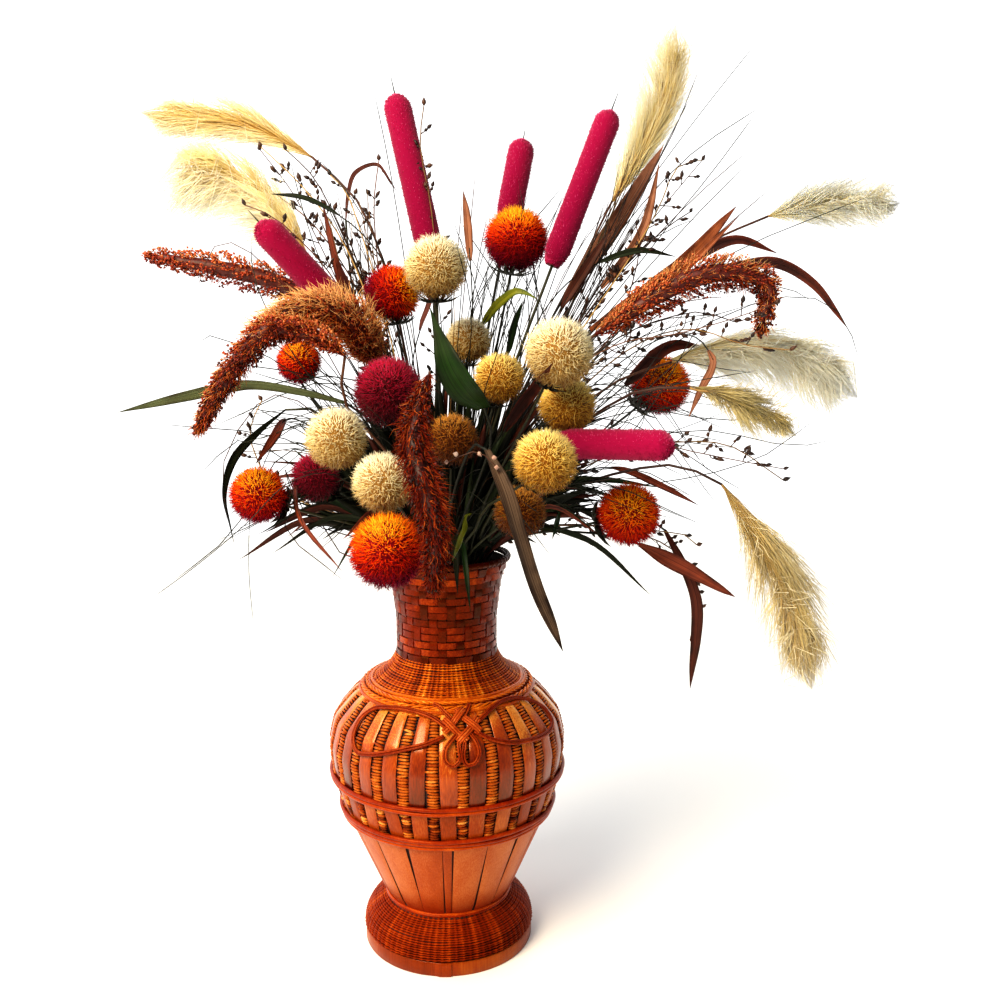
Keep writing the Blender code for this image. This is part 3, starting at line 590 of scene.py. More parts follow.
def add_foot(rng):
    piece = Piece()
    wicker_rows(piece, HOOP_HEIGHT + 1.5 * MM, WAIST - 1.5 * MM, FOOT_PITCH, rng)
    piece.make("foot_wicker", (FOOT_WICKER,), ("vase_body",))


def add_shoulder(rng):
    piece = Piece()
    wicker_rows(piece, SHOULDER - 9 * MM, NECK_FOOT + 3 * MM, SHOULDER_PITCH, rng)
    piece.make("shoulder_wicker", (SHOULDER_WICKER,), ("vase_body",))


def add_neck(rng):
    """The neck, plaited from flat strips. Each row passes over two uprights and under one."""
    piece = Piece()
    low, high = arc_at(NECK_FOOT + 2 * MM), arc_at(NECK_TOP)
    rows = int((high - low) / PLAIT_TALL)
    arcs = low + (np.arange(rows) + 0.5) * (high - low) / rows
    start = np.cumsum(rng.choice([0, 1, 1, 2], rows))
    over = np.where((np.arange(PLAITS_ROUND)[None] + start[:, None]) % 3 < 2, 1.0, -1.0)
    fine = 5
    bearing = (np.arange(PLAITS_ROUND * fine) + 0.5) / fine * TURN / PLAITS_ROUND
    wave = np.array([np.convolve(np.tile(np.repeat(row, fine), 3), np.ones(3) / 3, "same") for row in over])
    wave = wave[:, PLAITS_ROUND * fine : 2 * PLAITS_ROUND * fine]
    tone = np.repeat(
        rng.uniform(0.3, 0.75, (rows, PLAITS_ROUND)), fine, axis=1
    ) * 0.4 + rng.uniform(0.15, 0.5, (rows, 1))
    sag = rng.normal(0, 0.07, (rows, 1)) * PLAIT_TALL
    paths = on_wall(arcs[:, None] + sag, bearing[None], -1.0 * MM + 0.75 * MM * wave)
    out = unit(paths * [1, 1, 0])
    # painted shade: each row is lighter where it passes over an upright and darker where it passes under
    tubes(
        piece, paths, 0.62 * PLAIT_TALL, facing=out, ends="joined", tone=tone + 0.1 * wave, sides=4,
        turn=TURN / 8, flat=0.2,
    )
    rise = np.linspace(low, high, rows * fine + 1)
    row = np.clip((np.arange(rows * fine + 1) / fine).astype(int), 0, rows - 1)
    wave = -over[row].T
    wave = np.array([np.convolve(np.pad(column, 1, mode="edge"), np.ones(3) / 3, "valid") for column in wave])
    uprights = (np.arange(PLAITS_ROUND) + 0.5) * TURN / PLAITS_ROUND
    paths = on_wall(rise[None], uprights[:, None], -1.0 * MM + 0.75 * MM * wave)
    wide = np.interp(rise, ARC, WALL_RADIUS) * TURN / PLAITS_ROUND * 0.6
    out = unit(paths * [1, 1, 0])
    # painted shade: each upright is lighter where it passes over a row and darker where it passes under
    tone = rng.uniform(0.1, 0.6, (PLAITS_ROUND, 1)) + 0.1 * wave
    tubes(piece, paths, wide[None], facing=out, ends="blunt", tone=tone, sides=4, turn=TURN / 8, flat=0.14)
    piece.make("plaited_neck", (PLAITED_STRIP,), ("vase_body",), crease=40)


def add_lining():
    """A near-black wall behind the weave, painted shade that shows through its gaps, closed at the foot by the
    base mat.
    """
    piece = Piece()
    bearing = np.linspace(0, TURN, 72, endpoint=False)
    arcs = np.linspace(ARC[0], ARC[-1], 44)
    outside = on_wall(arcs[:, None], bearing[None], LINING_OUTSIDE)
    inside = on_wall(arcs[::-1, None], bearing[None], LINING_INSIDE)
    ring = np.stack([np.sin(bearing), -np.cos(bearing), 0 * bearing], axis=-1)
    step = WALL_RADIUS[0] - 3.6 * MM
    mat_edge = [ring * r + UP * z for r, z in ((0.004, 0.0004), (step, 0.0004), (step, FOOT_TOP_OF_HOOP))]
    mat_top = [
        ring * r + UP * z
        for r, z in ((step - 3 * MM, FOOT_TOP_OF_HOOP), (step - 3 * MM, 0.004), (0.004, 0.004))
    ]
    rings = np.concatenate([mat_edge, outside, inside, mat_top])[None]
    skin(piece, rings)
    piece.make("vase_lining", (CANE_SHADOW,), ("vase_body",))


def add_base_hoop():
    """A flat strip bent round the foot, its ends lapped at the front."""
    piece = Piece()
    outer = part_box("base_hoop")[1].x
    inner = outer - 4 * MM
    lap = 0.16
    bearing = np.linspace(-lap, TURN + 0.02, 150)
    step = 1.5 * MM * np.clip((bearing - TURN + lap) / 0.04, 0, 1)
    section = (
        (inner, 0.0), (outer - 2.2 * MM, 0.0), (outer - 1.6 * MM, 1 * MM),
        (outer - 1.6 * MM, HOOP_HEIGHT - 1 * MM), (outer - 2.4 * MM, HOOP_HEIGHT), (inner, HOOP_HEIGHT),
    )
    rings = [
        [((r + s) * math.sin(b), -(r + s) * math.cos(b), z) for r, z in section] for b,
        s in zip(bearing, step)
    ]
    rings = np.array(rings)[None, :, ::-1]
    skin(piece, rings, tone=0.5 + 0.2 * np.sin(3 * bearing)[None])
    piece.make("lapped_base_hoop", (HOOP_STRIP,), ("base_hoop",), crease=40)


def ring_canes(piece, arcs, lift, radius, rng, wander=0.25):
    """Canes laid round the vase side by side, none of them quite straight."""
    bearing = np.linspace(0, TURN, 156, endpoint=False)
    drift = rng.normal(0, wander, (len(arcs), 26))
    sway = np.array([np.interp(bearing, np.linspace(0, TURN, 26), row, period=TURN) for row in drift])
    paths = on_wall(np.asarray(arcs)[:, None] + sway * radius, bearing[None], lift)
    tone = 0.5 + 0.15 * sway + rng.normal(0, 0.08, (len(arcs), 1))
    tubes(piece, paths, radius, sides=7, facing=UP, ends="joined", tone=tone)


def rope(piece, arc, lift, winds, coil, cane):
    """Canes twisted round one another along a ring of the vase."""
    bearing = np.linspace(0, TURN, 234, endpoint=False)
    for strand in range(ROPE_STRANDS):
        phase = winds * bearing + TURN * strand / ROPE_STRANDS
        paths = on_wall(arc + coil * np.sin(phase), bearing, lift + coil * np.cos(phase))
        # painted shade: each strand is lighter where it twists outermost and darker where it tucks in behind the
        # others
        tone = 0.5 + 0.2 * np.cos(phase)[None]
        tubes(piece, paths, cane, sides=5, facing=UP, ends="joined", tone=tone)


def add_bands(rng):
    """The canes and ropes that ring the vase at its waist, its two bands, its shoulder and its mouth."""
    for name, height, canes in (("lower_band", LOWER_BAND, 3), ("upper_band", UPPER_BAND, 2)):
        piece = Piece()
        arcs = arc_at(height) + (np.arange(canes) - (canes - 1) / 2) * 1.85 * BAND_RADIUS
        ring_canes(piece, arcs, BAND_RADIUS + 0.3 * MM, BAND_RADIUS, rng, 0.14)
        piece.make(name + "_canes", (BAND_CANE,), (name,))
    piece = Piece()
    ring_canes(piece, arc_at(WAIST) + np.array([-1.7, 1.4]) * MM, 1.2 * MM, 1.6 * MM, rng)
    piece.make("waist_canes", (BAND_CANE,), ("waist_ring",))
    piece = Piece()
    ring_canes(piece, arc_at(SHOULDER) + np.array([-9.5, -6.6, 3.4, 6.4]) * MM, 0.4 * MM, 1.9 * MM, rng, 0.35)
    rope(piece, arc_at(SHOULDER - 2.9 * MM), 1.4 * MM, 19, 1.6 * MM, 1.3 * MM)
    rope(piece, arc_at(SHOULDER + 0.9 * MM), 1.3 * MM, -23, 1.3 * MM, 1.2 * MM)
    piece.make("shoulder_ropes", (SHOULDER_WICKER,), ("shoulder_ring",))
    piece = Piece()
    middle = (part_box("mouth_rim")[0].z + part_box("mouth_rim")[1].z) / 2
    top = ARC[-1] + (middle - WALL_HEIGHT[-1]) * 0.2
    rise = UP * (middle - WALL_HEIGHT[-1])
    bearing = np.linspace(0, TURN, 128, endpoint=False)
    tubes(piece, on_wall(top, bearing) + rise, 3.4 * MM, sides=8, facing=UP, ends="joined", tone=0.25)
    winding = np.linspace(0, TURN, 64 * 7, endpoint=False)
    out = on_wall(top, winding) * [1, 1, 0]
    lash = unit(out) * np.cos(64 * winding)[:, None] + UP * np.sin(64 * winding)[:, None]
    tubes(piece, on_wall(top, winding) + rise + lash * 3.5 * MM, 0.6 * MM, sides=4, ends="joined", tone=0.2)
    piece.make("lashed_mouth_rim", (PLAITED_STRIP,), ("mouth_rim",))


# The knot: bearings in radians and heights in metres on the shell, round each long loop from the knot and
# back.
LEFT_LOOP = (
    (0.02, 0.2905), (-0.14, 0.2995), (-0.35, 0.3035), (-0.63, 0.3030), (-0.84, 0.2980), (-0.915, 0.2880),
    (-0.90, 0.2765),
    (-0.80, 0.2605), (-0.67, 0.2620), (-0.525, 0.2670), (-0.34, 0.2735), (-0.205, 0.2775), (-0.03, 0.2850),
)
RIGHT_LOOP = (
    (0.29, 0.2955), (0.461, 0.3025), (0.634, 0.3064), (0.884, 0.3046), (1.04, 0.2976), (1.144, 0.2853),
    (1.121, 0.2762),
    (1.013, 0.2706), (0.889, 0.2699), (0.676, 0.2716), (0.51, 0.2745), (0.371, 0.2797), (0.24, 0.2880),
)
SMALL_LOOPS = (
    (
        (0.075, 0.2860), (0.030, 0.2810), (-0.020, 0.2735), (-0.014, 0.2640), (0.044, 0.2597),
        (0.094, 0.2650), (0.092, 0.2760), (0.10, 0.2850),
    ),
    (
        (0.150, 0.2850), (0.135, 0.2760), (0.122, 0.2680), (0.150, 0.2600), (0.203, 0.2605), (0.250, 0.2690),
        (0.240, 0.2790), (0.20, 0.2860),
    ),
)
TAILS = (
    ((-0.16, 0.3096), (-0.10, 0.3080), (-0.02, 0.3030), (0.04, 0.2985)),
    ((0.25, 0.3087), (0.215, 0.3050), (0.17, 0.3010), (0.14, 0.2975)),
)
# The lozenge's bundles: where each begins and ends, and whether it starts by passing over.
BUNDLES = (
    ((-0.035, 0.2985), (0.165, 0.2805), True),
    ((0.085, 0.3050), (0.295, 0.2870), False),
    ((-0.030, 0.2880), (0.175, 0.3055), False),
    ((0.085, 0.2800), (0.295, 0.2975), True),
)
KNOT_STRAND = 1.35 * MM
KNOT_RADIUS = 0.12  # of the shell where the knot lies


def add_knot():
    """One long cane tied on the shoulder: a lozenge of bundles, two long loops, two small ones, two tails."""
    piece = Piece()

    def lay(route, lift, spread, steps, strand, tone):
        """Parallel strands along a route of bearings and heights."""
        rows = np.array([(bearing * KNOT_RADIUS, arc_at(height), 0.0) for bearing, height in route])
        course = curve_through(rows, steps)
        ahead = unit(np.gradient(course, axis=0))
        beside = np.stack([-ahead[:, 1], ahead[:, 0]], axis=-1)
        for k, offset in enumerate(spread):
            place = course[:, :2] + beside * offset
            path = on_wall(place[:, 1], place[:, 0] / KNOT_RADIUS, lift)
            tubes(piece, path, strand, sides=6, ends="blunt", tone=tone + 0.12 * (k % 2))

    for start, end, over in BUNDLES:
        t = np.linspace(0, 1, 21)
        wave = np.cos(TURN * (t - 0.28) / 0.88) * (1 if over else -1)
        lay((start, end), 4.6 * MM + 1.5 * MM * wave, (-2.5 * MM, 0.0, 2.5 * MM), 21, KNOT_STRAND, 0.62)
    for loop in (LEFT_LOOP, RIGHT_LOOP):
        lay(loop, 3.6 * MM, (-1.2 * MM, 1.2 * MM), 70, 1.4 * MM, 0.36)
    for loop in SMALL_LOOPS:
        lay(loop, 4.2 * MM, (-1.1 * MM, 1.1 * MM), 30, 1.1 * MM, 0.42)
    for tail in TAILS:
        lay(tail, 3.6 * MM, (-1.3 * MM, 1.3 * MM), 14, 1.2 * MM, 0.45)
    piece.make("tied_cane_knot", (KNOT_CANE,), ("cane_knot",))


def add_vase():
    rng = np.random.default_rng(SEED)
    add_lining()
    add_foot(rng)
    add_slats(rng)
    add_columns(rng)
    add_shoulder(rng)
    add_neck(rng)
    add_base_hoop()
    add_bands(rng)
    add_knot()


# The plants

# How many rings of a plant's solid, counted from its tip, are its head's, and how far a thistle's first one
# is from
# the ball's foot.
HEAD_RINGS = {"thistle": 6, "cattail": 7, "pampas": 7, "sorghum": 7, "leaf": 6}
FIRST_THISTLE_RING = math.radians(20)


def rings_of(name):
    """A plant's solid as rings from foot to tip: their middles, and their widest and thinnest half-widths."""
    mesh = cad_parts[name].data
    points = np.empty(len(mesh.vertices) * 3)
    mesh.vertices.foreach_get("co", points)
    points, index = np.unique(np.round(points.reshape(-1, 3), 5), axis=0, return_inverse=True)
    index = index.ravel()
    beside = [set() for _ in points]
    for edge in mesh.edges:
        a, b = index[edge.vertices[0]], index[edge.vertices[1]]
        beside[a].add(b)
        beside[b].add(a)
    ring = {k for k in range(len(points)) if points[k][2] < 0.006}
    passed, rings, wides, thins = set(ring), [], [], []
    while ring:
        rings.append(points[sorted(ring)])
        ring = {other for k in ring for other in beside[k]} - passed
        passed |= ring
    middles = np.array([r.mean(axis=0) for r in rings])
    ahead = unit(np.gradient(middles, axis=0))
    for k, corners in enumerate(rings):
        arms = corners - middles[k]
        wide = arms[np.argmax(np.linalg.norm(arms, axis=1))]
        if wides and wide @ wides[-1] < 0:
            wide = -wide
        across = unit(np.cross(ahead[k], wide)) if len(corners) > 1 else np.zeros(3)
        wides.append(wide)
        thins.append(across * np.abs(arms @ across).max())
    return middles, np.array(wides), np.array(thins)


def add_stem(piece, middles, radius, rng, finish, steps=26):
    """A stalk from the base mat through the neck to where its head starts."""
    path = curve_through(middles, steps)
    widths = np.linspace(1.15, 0.85, steps) * radius
    tubes(piece, path, widths, sides=5, ends="blunt", tone=rng.uniform(0.2, 0.8), finish=finish)


CREAM_BRISTLE = dried_fibre(
    "cream_thistle_bristle", ((0.0, "#8A602A"), (0.2, "#C09A54"), (0.45, "#E4D096"), (1.0, "#FCF6D6")),
    "#7E5828", root_reach=0.5
)
GOLDEN_BRISTLE = dried_fibre(
    "golden_thistle_bristle", ((0.0, "#7A460C"), (0.25, "#B88226"), (0.55, "#E4B64E"), (1.0, "#FCE48C")),
    "#6E420E", root_reach=0.45
)
ORANGE_BRISTLE = dried_fibre(
    "dyed_orange_thistle_bristle",
    (
        (0.0, "#46041E"), (0.2, "#68061C"), (0.36, "#A00C06"), (0.54, "#CE2402"), (0.7, "#EA3E02"),
        (0.86, "#F87206"),
        (1.0, "#FFB01C"),
    ),
    "#740A02", sheen=0.0, root_reach=0.4, glow=0.2, shades=0.24,
)
MAROON_BRISTLE = dried_fibre(
    "dyed_maroon_thistle_bristle", ((0.0, "#32020E"), (0.5, "#780420"), (1.0, "#B01038")), "#30020C",
    root_reach=0.4
)
BROWN_BRISTLE = dried_fibre(
    "brown_thistle_bristle", ((0.0, "#2E1204"), (0.4, "#6E3408"), (0.75, "#9A5812"), (1.0, "#C08430")),
    "#3A1C06"
)
DARK_STEM = dry_stem("dark_dried_stem", ((0.0, "#0A0D07"), (0.5, "#171C0E"), (1.0, "#3A3A1E")))
TAN_STEM = dry_stem("tan_dried_stem", ((0.0, "#3A2614"), (0.5, "#8A6A3A"), (1.0, "#C8A868")))
BROWN_STEM = dry_stem("brown_dried_stem", ((0.0, "#1C0C08"), (0.5, "#4A2A1C"), (1.0, "#7E5236")))

# Each thistle: its bristle, the way its bright crown turns, how untidy its bristles are, and how narrow its
# crown. The bright crown is partly the bristles' own two-tone colour and partly painted light: lit on
# that side, shaded away from it.
UPWARD = (0.0, -0.3, 1.0)
FORWARD = (0.1, -0.8, 0.6)
THISTLES = {
    "cream": (CREAM_BRISTLE, UPWARD, 0.16, 1.2),
    "golden": (GOLDEN_BRISTLE, UPWARD, 0.20, 1.2),
    "orange": (ORANGE_BRISTLE, FORWARD, 0.14, 1.6),
    "maroon": (MAROON_BRISTLE, UPWARD, 0.14, 1.2),
}
# Which way the bright side of these thistles turns instead: partly painted light.
LIT_CROWN_TURNED = {
    "orange_thistle_1": (0.0, -0.45, 1.0),
    "orange_thistle_2": (1.0, -0.6, 0.35),
    "orange_thistle_3": (0.1, -0.7, 0.8),
    "orange_thistle_4": (-0.1, -0.5, 0.95),
    "orange_thistle_6": (-0.1, -0.9, 0.5),
}
# The thistles given another bristle than the rest of their kind: two darker, in brown, and one paler, in cream.
ODD_THISTLES = {
    "golden_thistle_5": BROWN_BRISTLE, "golden_thistle_6": BROWN_BRISTLE, "golden_thistle_4": CREAM_BRISTLE,
}
BALL_CORE, BRISTLE_ROOT = 0.8, 0.74  # shares of a thistle's radius
# counts on a thistle of that radius, in metres
STRAIGHT_BRISTLES, CURLY_BRISTLES, COMMON_RADIUS = 2400, 420, 0.033


def bristle_ball(piece, centre, radius, crown_way, untidy, narrowing, rng):
    """A ball of bristles round a core: straight ones close together, and longer curly ones."""

    def sphere_ways(count):
        rise = 1 - 2 * (np.arange(count) + 0.5) / count
        round_it = np.arange(count) * GOLDEN_ANGLE
        flat = np.sqrt(1 - rise**2)
        ways = np.stack([flat * np.cos(round_it), flat * np.sin(round_it), rise], axis=-1)
        return unit(ways + rng.normal(0, 0.03, (count, 3)))

    # how far a bristle faces crown_way; its colour brightens there, partly painted light
    def crown_of(ways):
        return ((ways @ unit(np.array(crown_way)) + 1) / 2) ** narrowing

    count = int(STRAIGHT_BRISTLES * (radius / COMMON_RADIUS) ** 2)
    ways = sphere_ways(count)
    crown = crown_of(ways)
    low = np.clip(1.0 - crown * 1.6, 0, 1)[:, None]
    lean = unit(ways + rng.normal(0, 1, (count, 3)) * untidy * (0.35 + 0.9 * low))
    reach = radius * rng.uniform(0.93, 1.07, count)[:, None]
    straight = np.stack([centre + ways * radius * BRISTLE_ROOT, centre + lean * reach], axis=1)
    tubes(piece, straight, (0.6 * MM, 0.0), capped=False, tone=rng.uniform(0, 1, count), crown=crown)
    count = int(CURLY_BRISTLES * (radius / COMMON_RADIUS) ** 2)
    ways = sphere_ways(count)
    roots = centre + ways * radius * BRISTLE_ROOT
    lean = unit(ways + rng.normal(0, 1, (count, 3)) * untidy * 1.3)
    tips = centre + lean * radius * rng.uniform(0.92, 1.12, count)[:, None]
    bows = np.cross(ways, rng.normal(0, 1, (count, 3))) * radius * 0.10
    values = {"tone": rng.uniform(0.2, 1, count), "crown": crown_of(ways)}
    tubes(piece, bent(roots, tips, bows, 3), (0.5 * MM, 0.38 * MM, 0.0), capped=False, **values)
    # The core takes the bristles' dark root colour: painted shade deep in the ball.
    polar = np.linspace(0.06, math.pi - 0.06, 14)
    lumps = centre - UP * (radius * BALL_CORE * np.cos(polar))[:, None]
    tubes(piece, lumps, radius * BALL_CORE * np.sin(polar), sides=18, ends="blunt", crown=0.3, along=0.2)


def add_thistle(name, rng):
    """A ball of bristles, finer on its crown and untidy below, on a bracted stem."""
    middles, _, _ = rings_of(name)
    tip, first = middles[-1], middles[-HEAD_RINGS["thistle"]]
    axis = unit(tip - first)
    radius = np.linalg.norm(tip - first) / (1 + math.cos(FIRST_THISTLE_RING))
    centre = tip - axis * radius
    bristle, crown_way, untidy, narrowing = THISTLES[name.split("_")[0]]
    bristle = ODD_THISTLES.get(name, bristle)
    piece = Piece()
    bristle_ball(piece, centre, radius, LIT_CROWN_TURNED.get(name, crown_way), untidy, narrowing, rng)
    stem = np.vstack([middles[: -HEAD_RINGS["thistle"]], centre - axis * radius * 0.7])
    add_stem(piece, stem, 1.7 * MM, rng, 1)
    bracts = 13
    turn = np.arange(bracts) * TURN / bracts
    out = round_axis(axis, turn, UP + 0.01)
    roots = centre - axis * radius * 1.02 + out * 1.5 * MM
    tips = centre - axis * radius * 0.8 + out * radius * rng.uniform(0.6, 0.85, bracts)[:, None]
    paths = bent(roots, tips, -axis * radius * 0.1 + 0 * out, 5)
    tubes(piece, paths, (1.4 * MM, 2.8 * MM, 2.6 * MM, 1.6 * MM, 0.0), sides=5, flat=0.3, tone=0.3, finish=1)
    piece.make(name + "_head", (bristle, DARK_STEM), (name,))


# Its pink top colour serves the painted light on fibres high on the head and facing up.
VELVET = dried_fibre(
    "dyed_cattail_velvet", ((0.0, "#560120"), (0.35, "#8A043C"), (0.7, "#BA1252"), (1.0, "#DC5C96")),
    "#6A022C",
    roughness=0.95, sheen=0.12, root_reach=0.6, glow=0.05,
)
VELVET_STARTS = {"cattail_2": 0.34, "cattail_3": 0.22}  # share of the head below its velvet
VELVET_ENDS = 0.915
NAP_FIBRES = 4600


def add_cattail(name, rng):
    """A dyed cattail: a dense velvet nap on a plump rod, with the spike's bare point above."""
    middles, wides, _ = rings_of(name)
    head = HEAD_RINGS["cattail"]
    radius = np.linalg.norm(wides[-head + 2]) - 1.4 * MM
    spine = curve_through(middles[-head:], 80)
    share = np.linspace(0, 1, 80)
    starts = VELVET_STARTS.get(name, 0.0)
    velvet = spine[(share >= starts) & (share < VELVET_ENDS)]
    length = np.linalg.norm(np.diff(velvet, axis=0), axis=1).sum()
    steps = 36
    place = (1 - np.cos(np.linspace(0, math.pi, steps))) / 2
    core = rows_at(velvet, place * (len(velvet) - 1))
    top = np.sqrt(np.clip(1 - np.clip((place * length - length + radius) / radius, 0, 1) ** 2, 0.001, 1))
    low = np.clip((place * length + 0.35 * radius) / (1.6 * radius), 0, 1) ** 0.5
    widths = radius * top * low
    piece = Piece()
    # painted light: the core's colour brightens up the head and darkens towards its foot
    up_head_light = 0.5 + 0.2 * np.linspace(-1, 1, steps)
    tubes(piece, core, widths, sides=20, ends="blunt", along=0.4, crown=up_head_light[None], tone=0.2)
    count = NAP_FIBRES
    rows = rng.uniform(0, 1, count)
    index = rows * (steps - 1)
    middle = rows_at(core, index)
    wide = np.interp(index, np.arange(steps), widths)[:, None]
    axis = unit(core[-1] - core[0])
    out = round_axis(axis, rng.uniform(0, TURN, count), TO_FRONT)
    capped = np.clip((rows - 0.93) / 0.07, 0, 1)[:, None]
    way = unit(out + axis * (0.35 + 1.2 * capped) + rng.normal(0, 0.3, (count, 3)))
    roots = middle + out * wide * 0.93
    tips = roots + way * rng.uniform(1.8, 3.8, count)[:, None] * MM
    # painted light and shade: fibres that face up and sit high on the head are brighter, those facing down
    # darker
    crown = 0.38 + 0.3 * way[:, 2] + 0.22 * rows + 0.14 * rng.normal(0, 1, count)
    nap = np.stack([roots, tips], axis=1)
    along = np.array([[0.3, 0.7]])
    tubes(piece, nap, (0.4 * MM, 0.0), capped=False, tone=rng.uniform(0, 1, count), crown=crown, along=along)
    point = spine[share > 0.89]
    tubes(piece, point, np.linspace(1.0, 0.3, len(point)) * MM, sides=5, ends="blunt", finish=1, tone=0.4)
    below = spine[share <= starts + 0.02]
    add_stem(piece, np.vstack([middles[:-head], below[:: max(1, len(below) // 3)]]), 2.0 * MM, rng, 1)
    piece.make(name + "_velvet", (VELVET, DARK_STEM), (name,))


PALE_PAMPAS = dried_fibre(
    "pale_pampas_hair", ((0.0, "#BC8A2C"), (0.35, "#E2C06A"), (0.65, "#F6E6A6"), (1.0, "#FFFBE0")), "#C4923A",
    roughness=0.6, sheen=0.3, root_reach=0.4, glow=0.4,
)
TAN_PAMPAS = dried_fibre(
    "tan_pampas_hair", ((0.0, "#7E5C26"), (0.35, "#AC8E50"), (0.65, "#D0B87C"), (1.0, "#F2E4B6")), "#84642E",
    roughness=0.6, sheen=0.3, root_reach=0.4, glow=0.35,
)
OLIVE_PAMPAS = dried_fibre(
    "olive_pampas_hair", ((0.0, "#4A3A14"), (0.35, "#7E6A30"), (0.65, "#B09C58"), (1.0, "#E2D298")),
    "#4A3A18",
    roughness=0.65, sheen=0.3, root_reach=0.5, glow=0.15,
)
WHITE_PAMPAS = dried_fibre(
    "white_pampas_hair", ((0.0, "#D6B868"), (0.35, "#EEDC98"), (0.65, "#FFF4C4"), (1.0, "#FFFDE6")),
    "#DCC078",
    roughness=0.6, root_reach=0.5, glow=0.7,
)
GOLDEN_PAMPAS = dried_fibre(
    "golden_pampas_hair", ((0.0, "#8E5E14"), (0.35, "#C4923A"), (0.65, "#E6C87C"), (1.0, "#FCF0C4")),
    "#9A6818",
    roughness=0.6, root_reach=0.5, glow=0.35,
)
# Each plume: its hair, where its stalk runs across it (1 is its upper edge), its locks, and its golden share.
PLUMES = {
    "pampas_plume_1": (GOLDEN_PAMPAS, 0.05, 74, 0.42),
    "pampas_plume_2": (PALE_PAMPAS, 0.60, 84, 0.40),
    "pampas_plume_3": (PALE_PAMPAS, -0.35, 80, 0.45),
    "pampas_plume_4": (WHITE_PAMPAS, 0.0, 70, 0.12),
    "pampas_plume_5": (WHITE_PAMPAS, 0.65, 84, 0.02),
    "pampas_plume_6": (TAN_PAMPAS, 0.25, 88, 0.52),
    "pampas_plume_7": (OLIVE_PAMPAS, 0.5, 44, 0.30),
}
HAIRS_IN_A_LOCK, STRAY_HAIRS = 25, 110
HEAD_STEPS = 60  # rows along a plume or a sorghum head


def add_plume(name, rng):
    """A pampas plume: locks of fine hair that leave the stalk one above another and sweep towards the tip."""
    hair, edge, locks, gold = PLUMES[name]
    middles, wides, thins = rings_of(name)
    head = HEAD_RINGS["pampas"]
    rows = curve_through(np.hstack([middles[-head:], wides[-head:], thins[-head:]]), HEAD_STEPS)
    if rows[30, 5] < 0 or (abs(rows[30, 5]) < 0.3 * abs(rows[30, 3]) and rows[30, 3] < 0):
        rows[:, 3:6] *= -1
    piece = Piece()

    def at(share, wide, thin):
        """Points by their share along the head, and across it in half-widths."""
        place = np.clip(share, 0, 1.02) * (HEAD_STEPS - 1)
        columns = rows_at(rows, place)
        return columns[..., :3] + columns[..., 3:6] * wide[..., None] + columns[..., 6:9] * thin[..., None]

    start = np.sort(rng.uniform(0, 1, locks) ** 1.15) * 0.80
    length = rng.uniform(0.26, 0.55, locks)
    aim = rng.uniform(-0.95, 0.95, locks)
    aim_thin = rng.uniform(-0.9, 0.9, locks)
    lock = np.repeat(np.arange(locks), HAIRS_IN_A_LOCK)
    count = len(lock)
    spread = rng.normal(0, 1, (count, 3))
    first = start[lock] + 0.03 * spread[:, 0]
    room = (1.02 - first) * rng.uniform(0.55, 1.0, count)
    last = first + np.minimum(length[lock] * rng.uniform(0.6, 1.15, count), room)
    to_wide = np.clip(aim[lock] + 0.13 * spread[:, 1], -1.2, 1.2)
    to_thin = np.clip(aim_thin[lock] + 0.2 * spread[:, 2], -1.15, 1.15)
    t = np.stack([np.zeros(count), rng.uniform(0.35, 0.6, count), np.ones(count)], axis=1)
    share = first[:, None] + (last - first)[:, None] * t
    taper = np.interp(share, (0.0, 0.9, 1.0), (edge, edge * 0.8, 0.0))
    curl = rng.normal(0, 0.10, (count, 1)) * np.sin(math.pi * t)
    wide = taper * (1 - t**0.9) + to_wide[:, None] * t**0.9 + curl
    thin = to_thin[:, None] * t**0.8 + rng.normal(0, 0.06, (count, 1)) * np.sin(2 * math.pi * t)
    paths = at(share, wide, thin)
    crown = np.clip(0.78 - gold + 0.35 * np.abs(to_wide - edge)[:, None] + 0.30 * t, 0, 1)
    tone = np.clip(rng.uniform(0, 1, locks)[lock] * 0.7 + rng.uniform(0, 0.3, count), 0, 1)
    tubes(piece, paths, (0.36 * MM, 0.3 * MM, 0.0), capped=False, tone=tone, crown=crown)
    strays = STRAY_HAIRS
    root = rng.uniform(0.1, 0.9, strays)
    way = rng.normal(0, 0.7, (strays, 2)) * [1.0, 0.8]
    t = np.linspace(0, 1, 4)[None]
    share = root[:, None] + rng.uniform(-0.03, 0.22, strays)[:, None] * t
    wide = edge * 0.5 + np.clip(way[:, :1], -1.15, 1.15) * t
    wide += rng.normal(0, 0.12, (strays, 1)) * np.sin(TURN * t)
    thin = np.clip(way[:, 1:], -1, 1) * t
    tubes(
        piece, at(share, wide, thin - 0.4), (0.32 * MM,) * 3 + (0.0,), tone=rng.uniform(0.4, 1, strays),
        crown=0.9, along=1.0,
    )
    t = np.linspace(0, 0.93, 30)
    rachis = at(t, edge * np.interp(t, (0, 0.2, 1), (0, 1, 0.6)), 0 * t)
    tubes(piece, rachis, np.linspace(1.4, 0.3, 30) * MM, sides=5, tone=0.6, finish=1)
    add_stem(piece, middles[: -head + 1], 1.7 * MM, rng, 2)
    piece.make(name + "_hair", (hair, TAN_STEM, BROWN_STEM), (name,))


def seed_finish(name, stops):
    """Ripe sorghum grain: a hard round seed, a little glossy, from rust to near black."""
    material, tree, tone = new_finish(name, "tone")
    colour = shaded(tree, stops, tone, ((grain(tree, 3), 0.4),), 0.2)
    lit(tree, colour, Roughness=0.5, IOR=1.45)
    return material


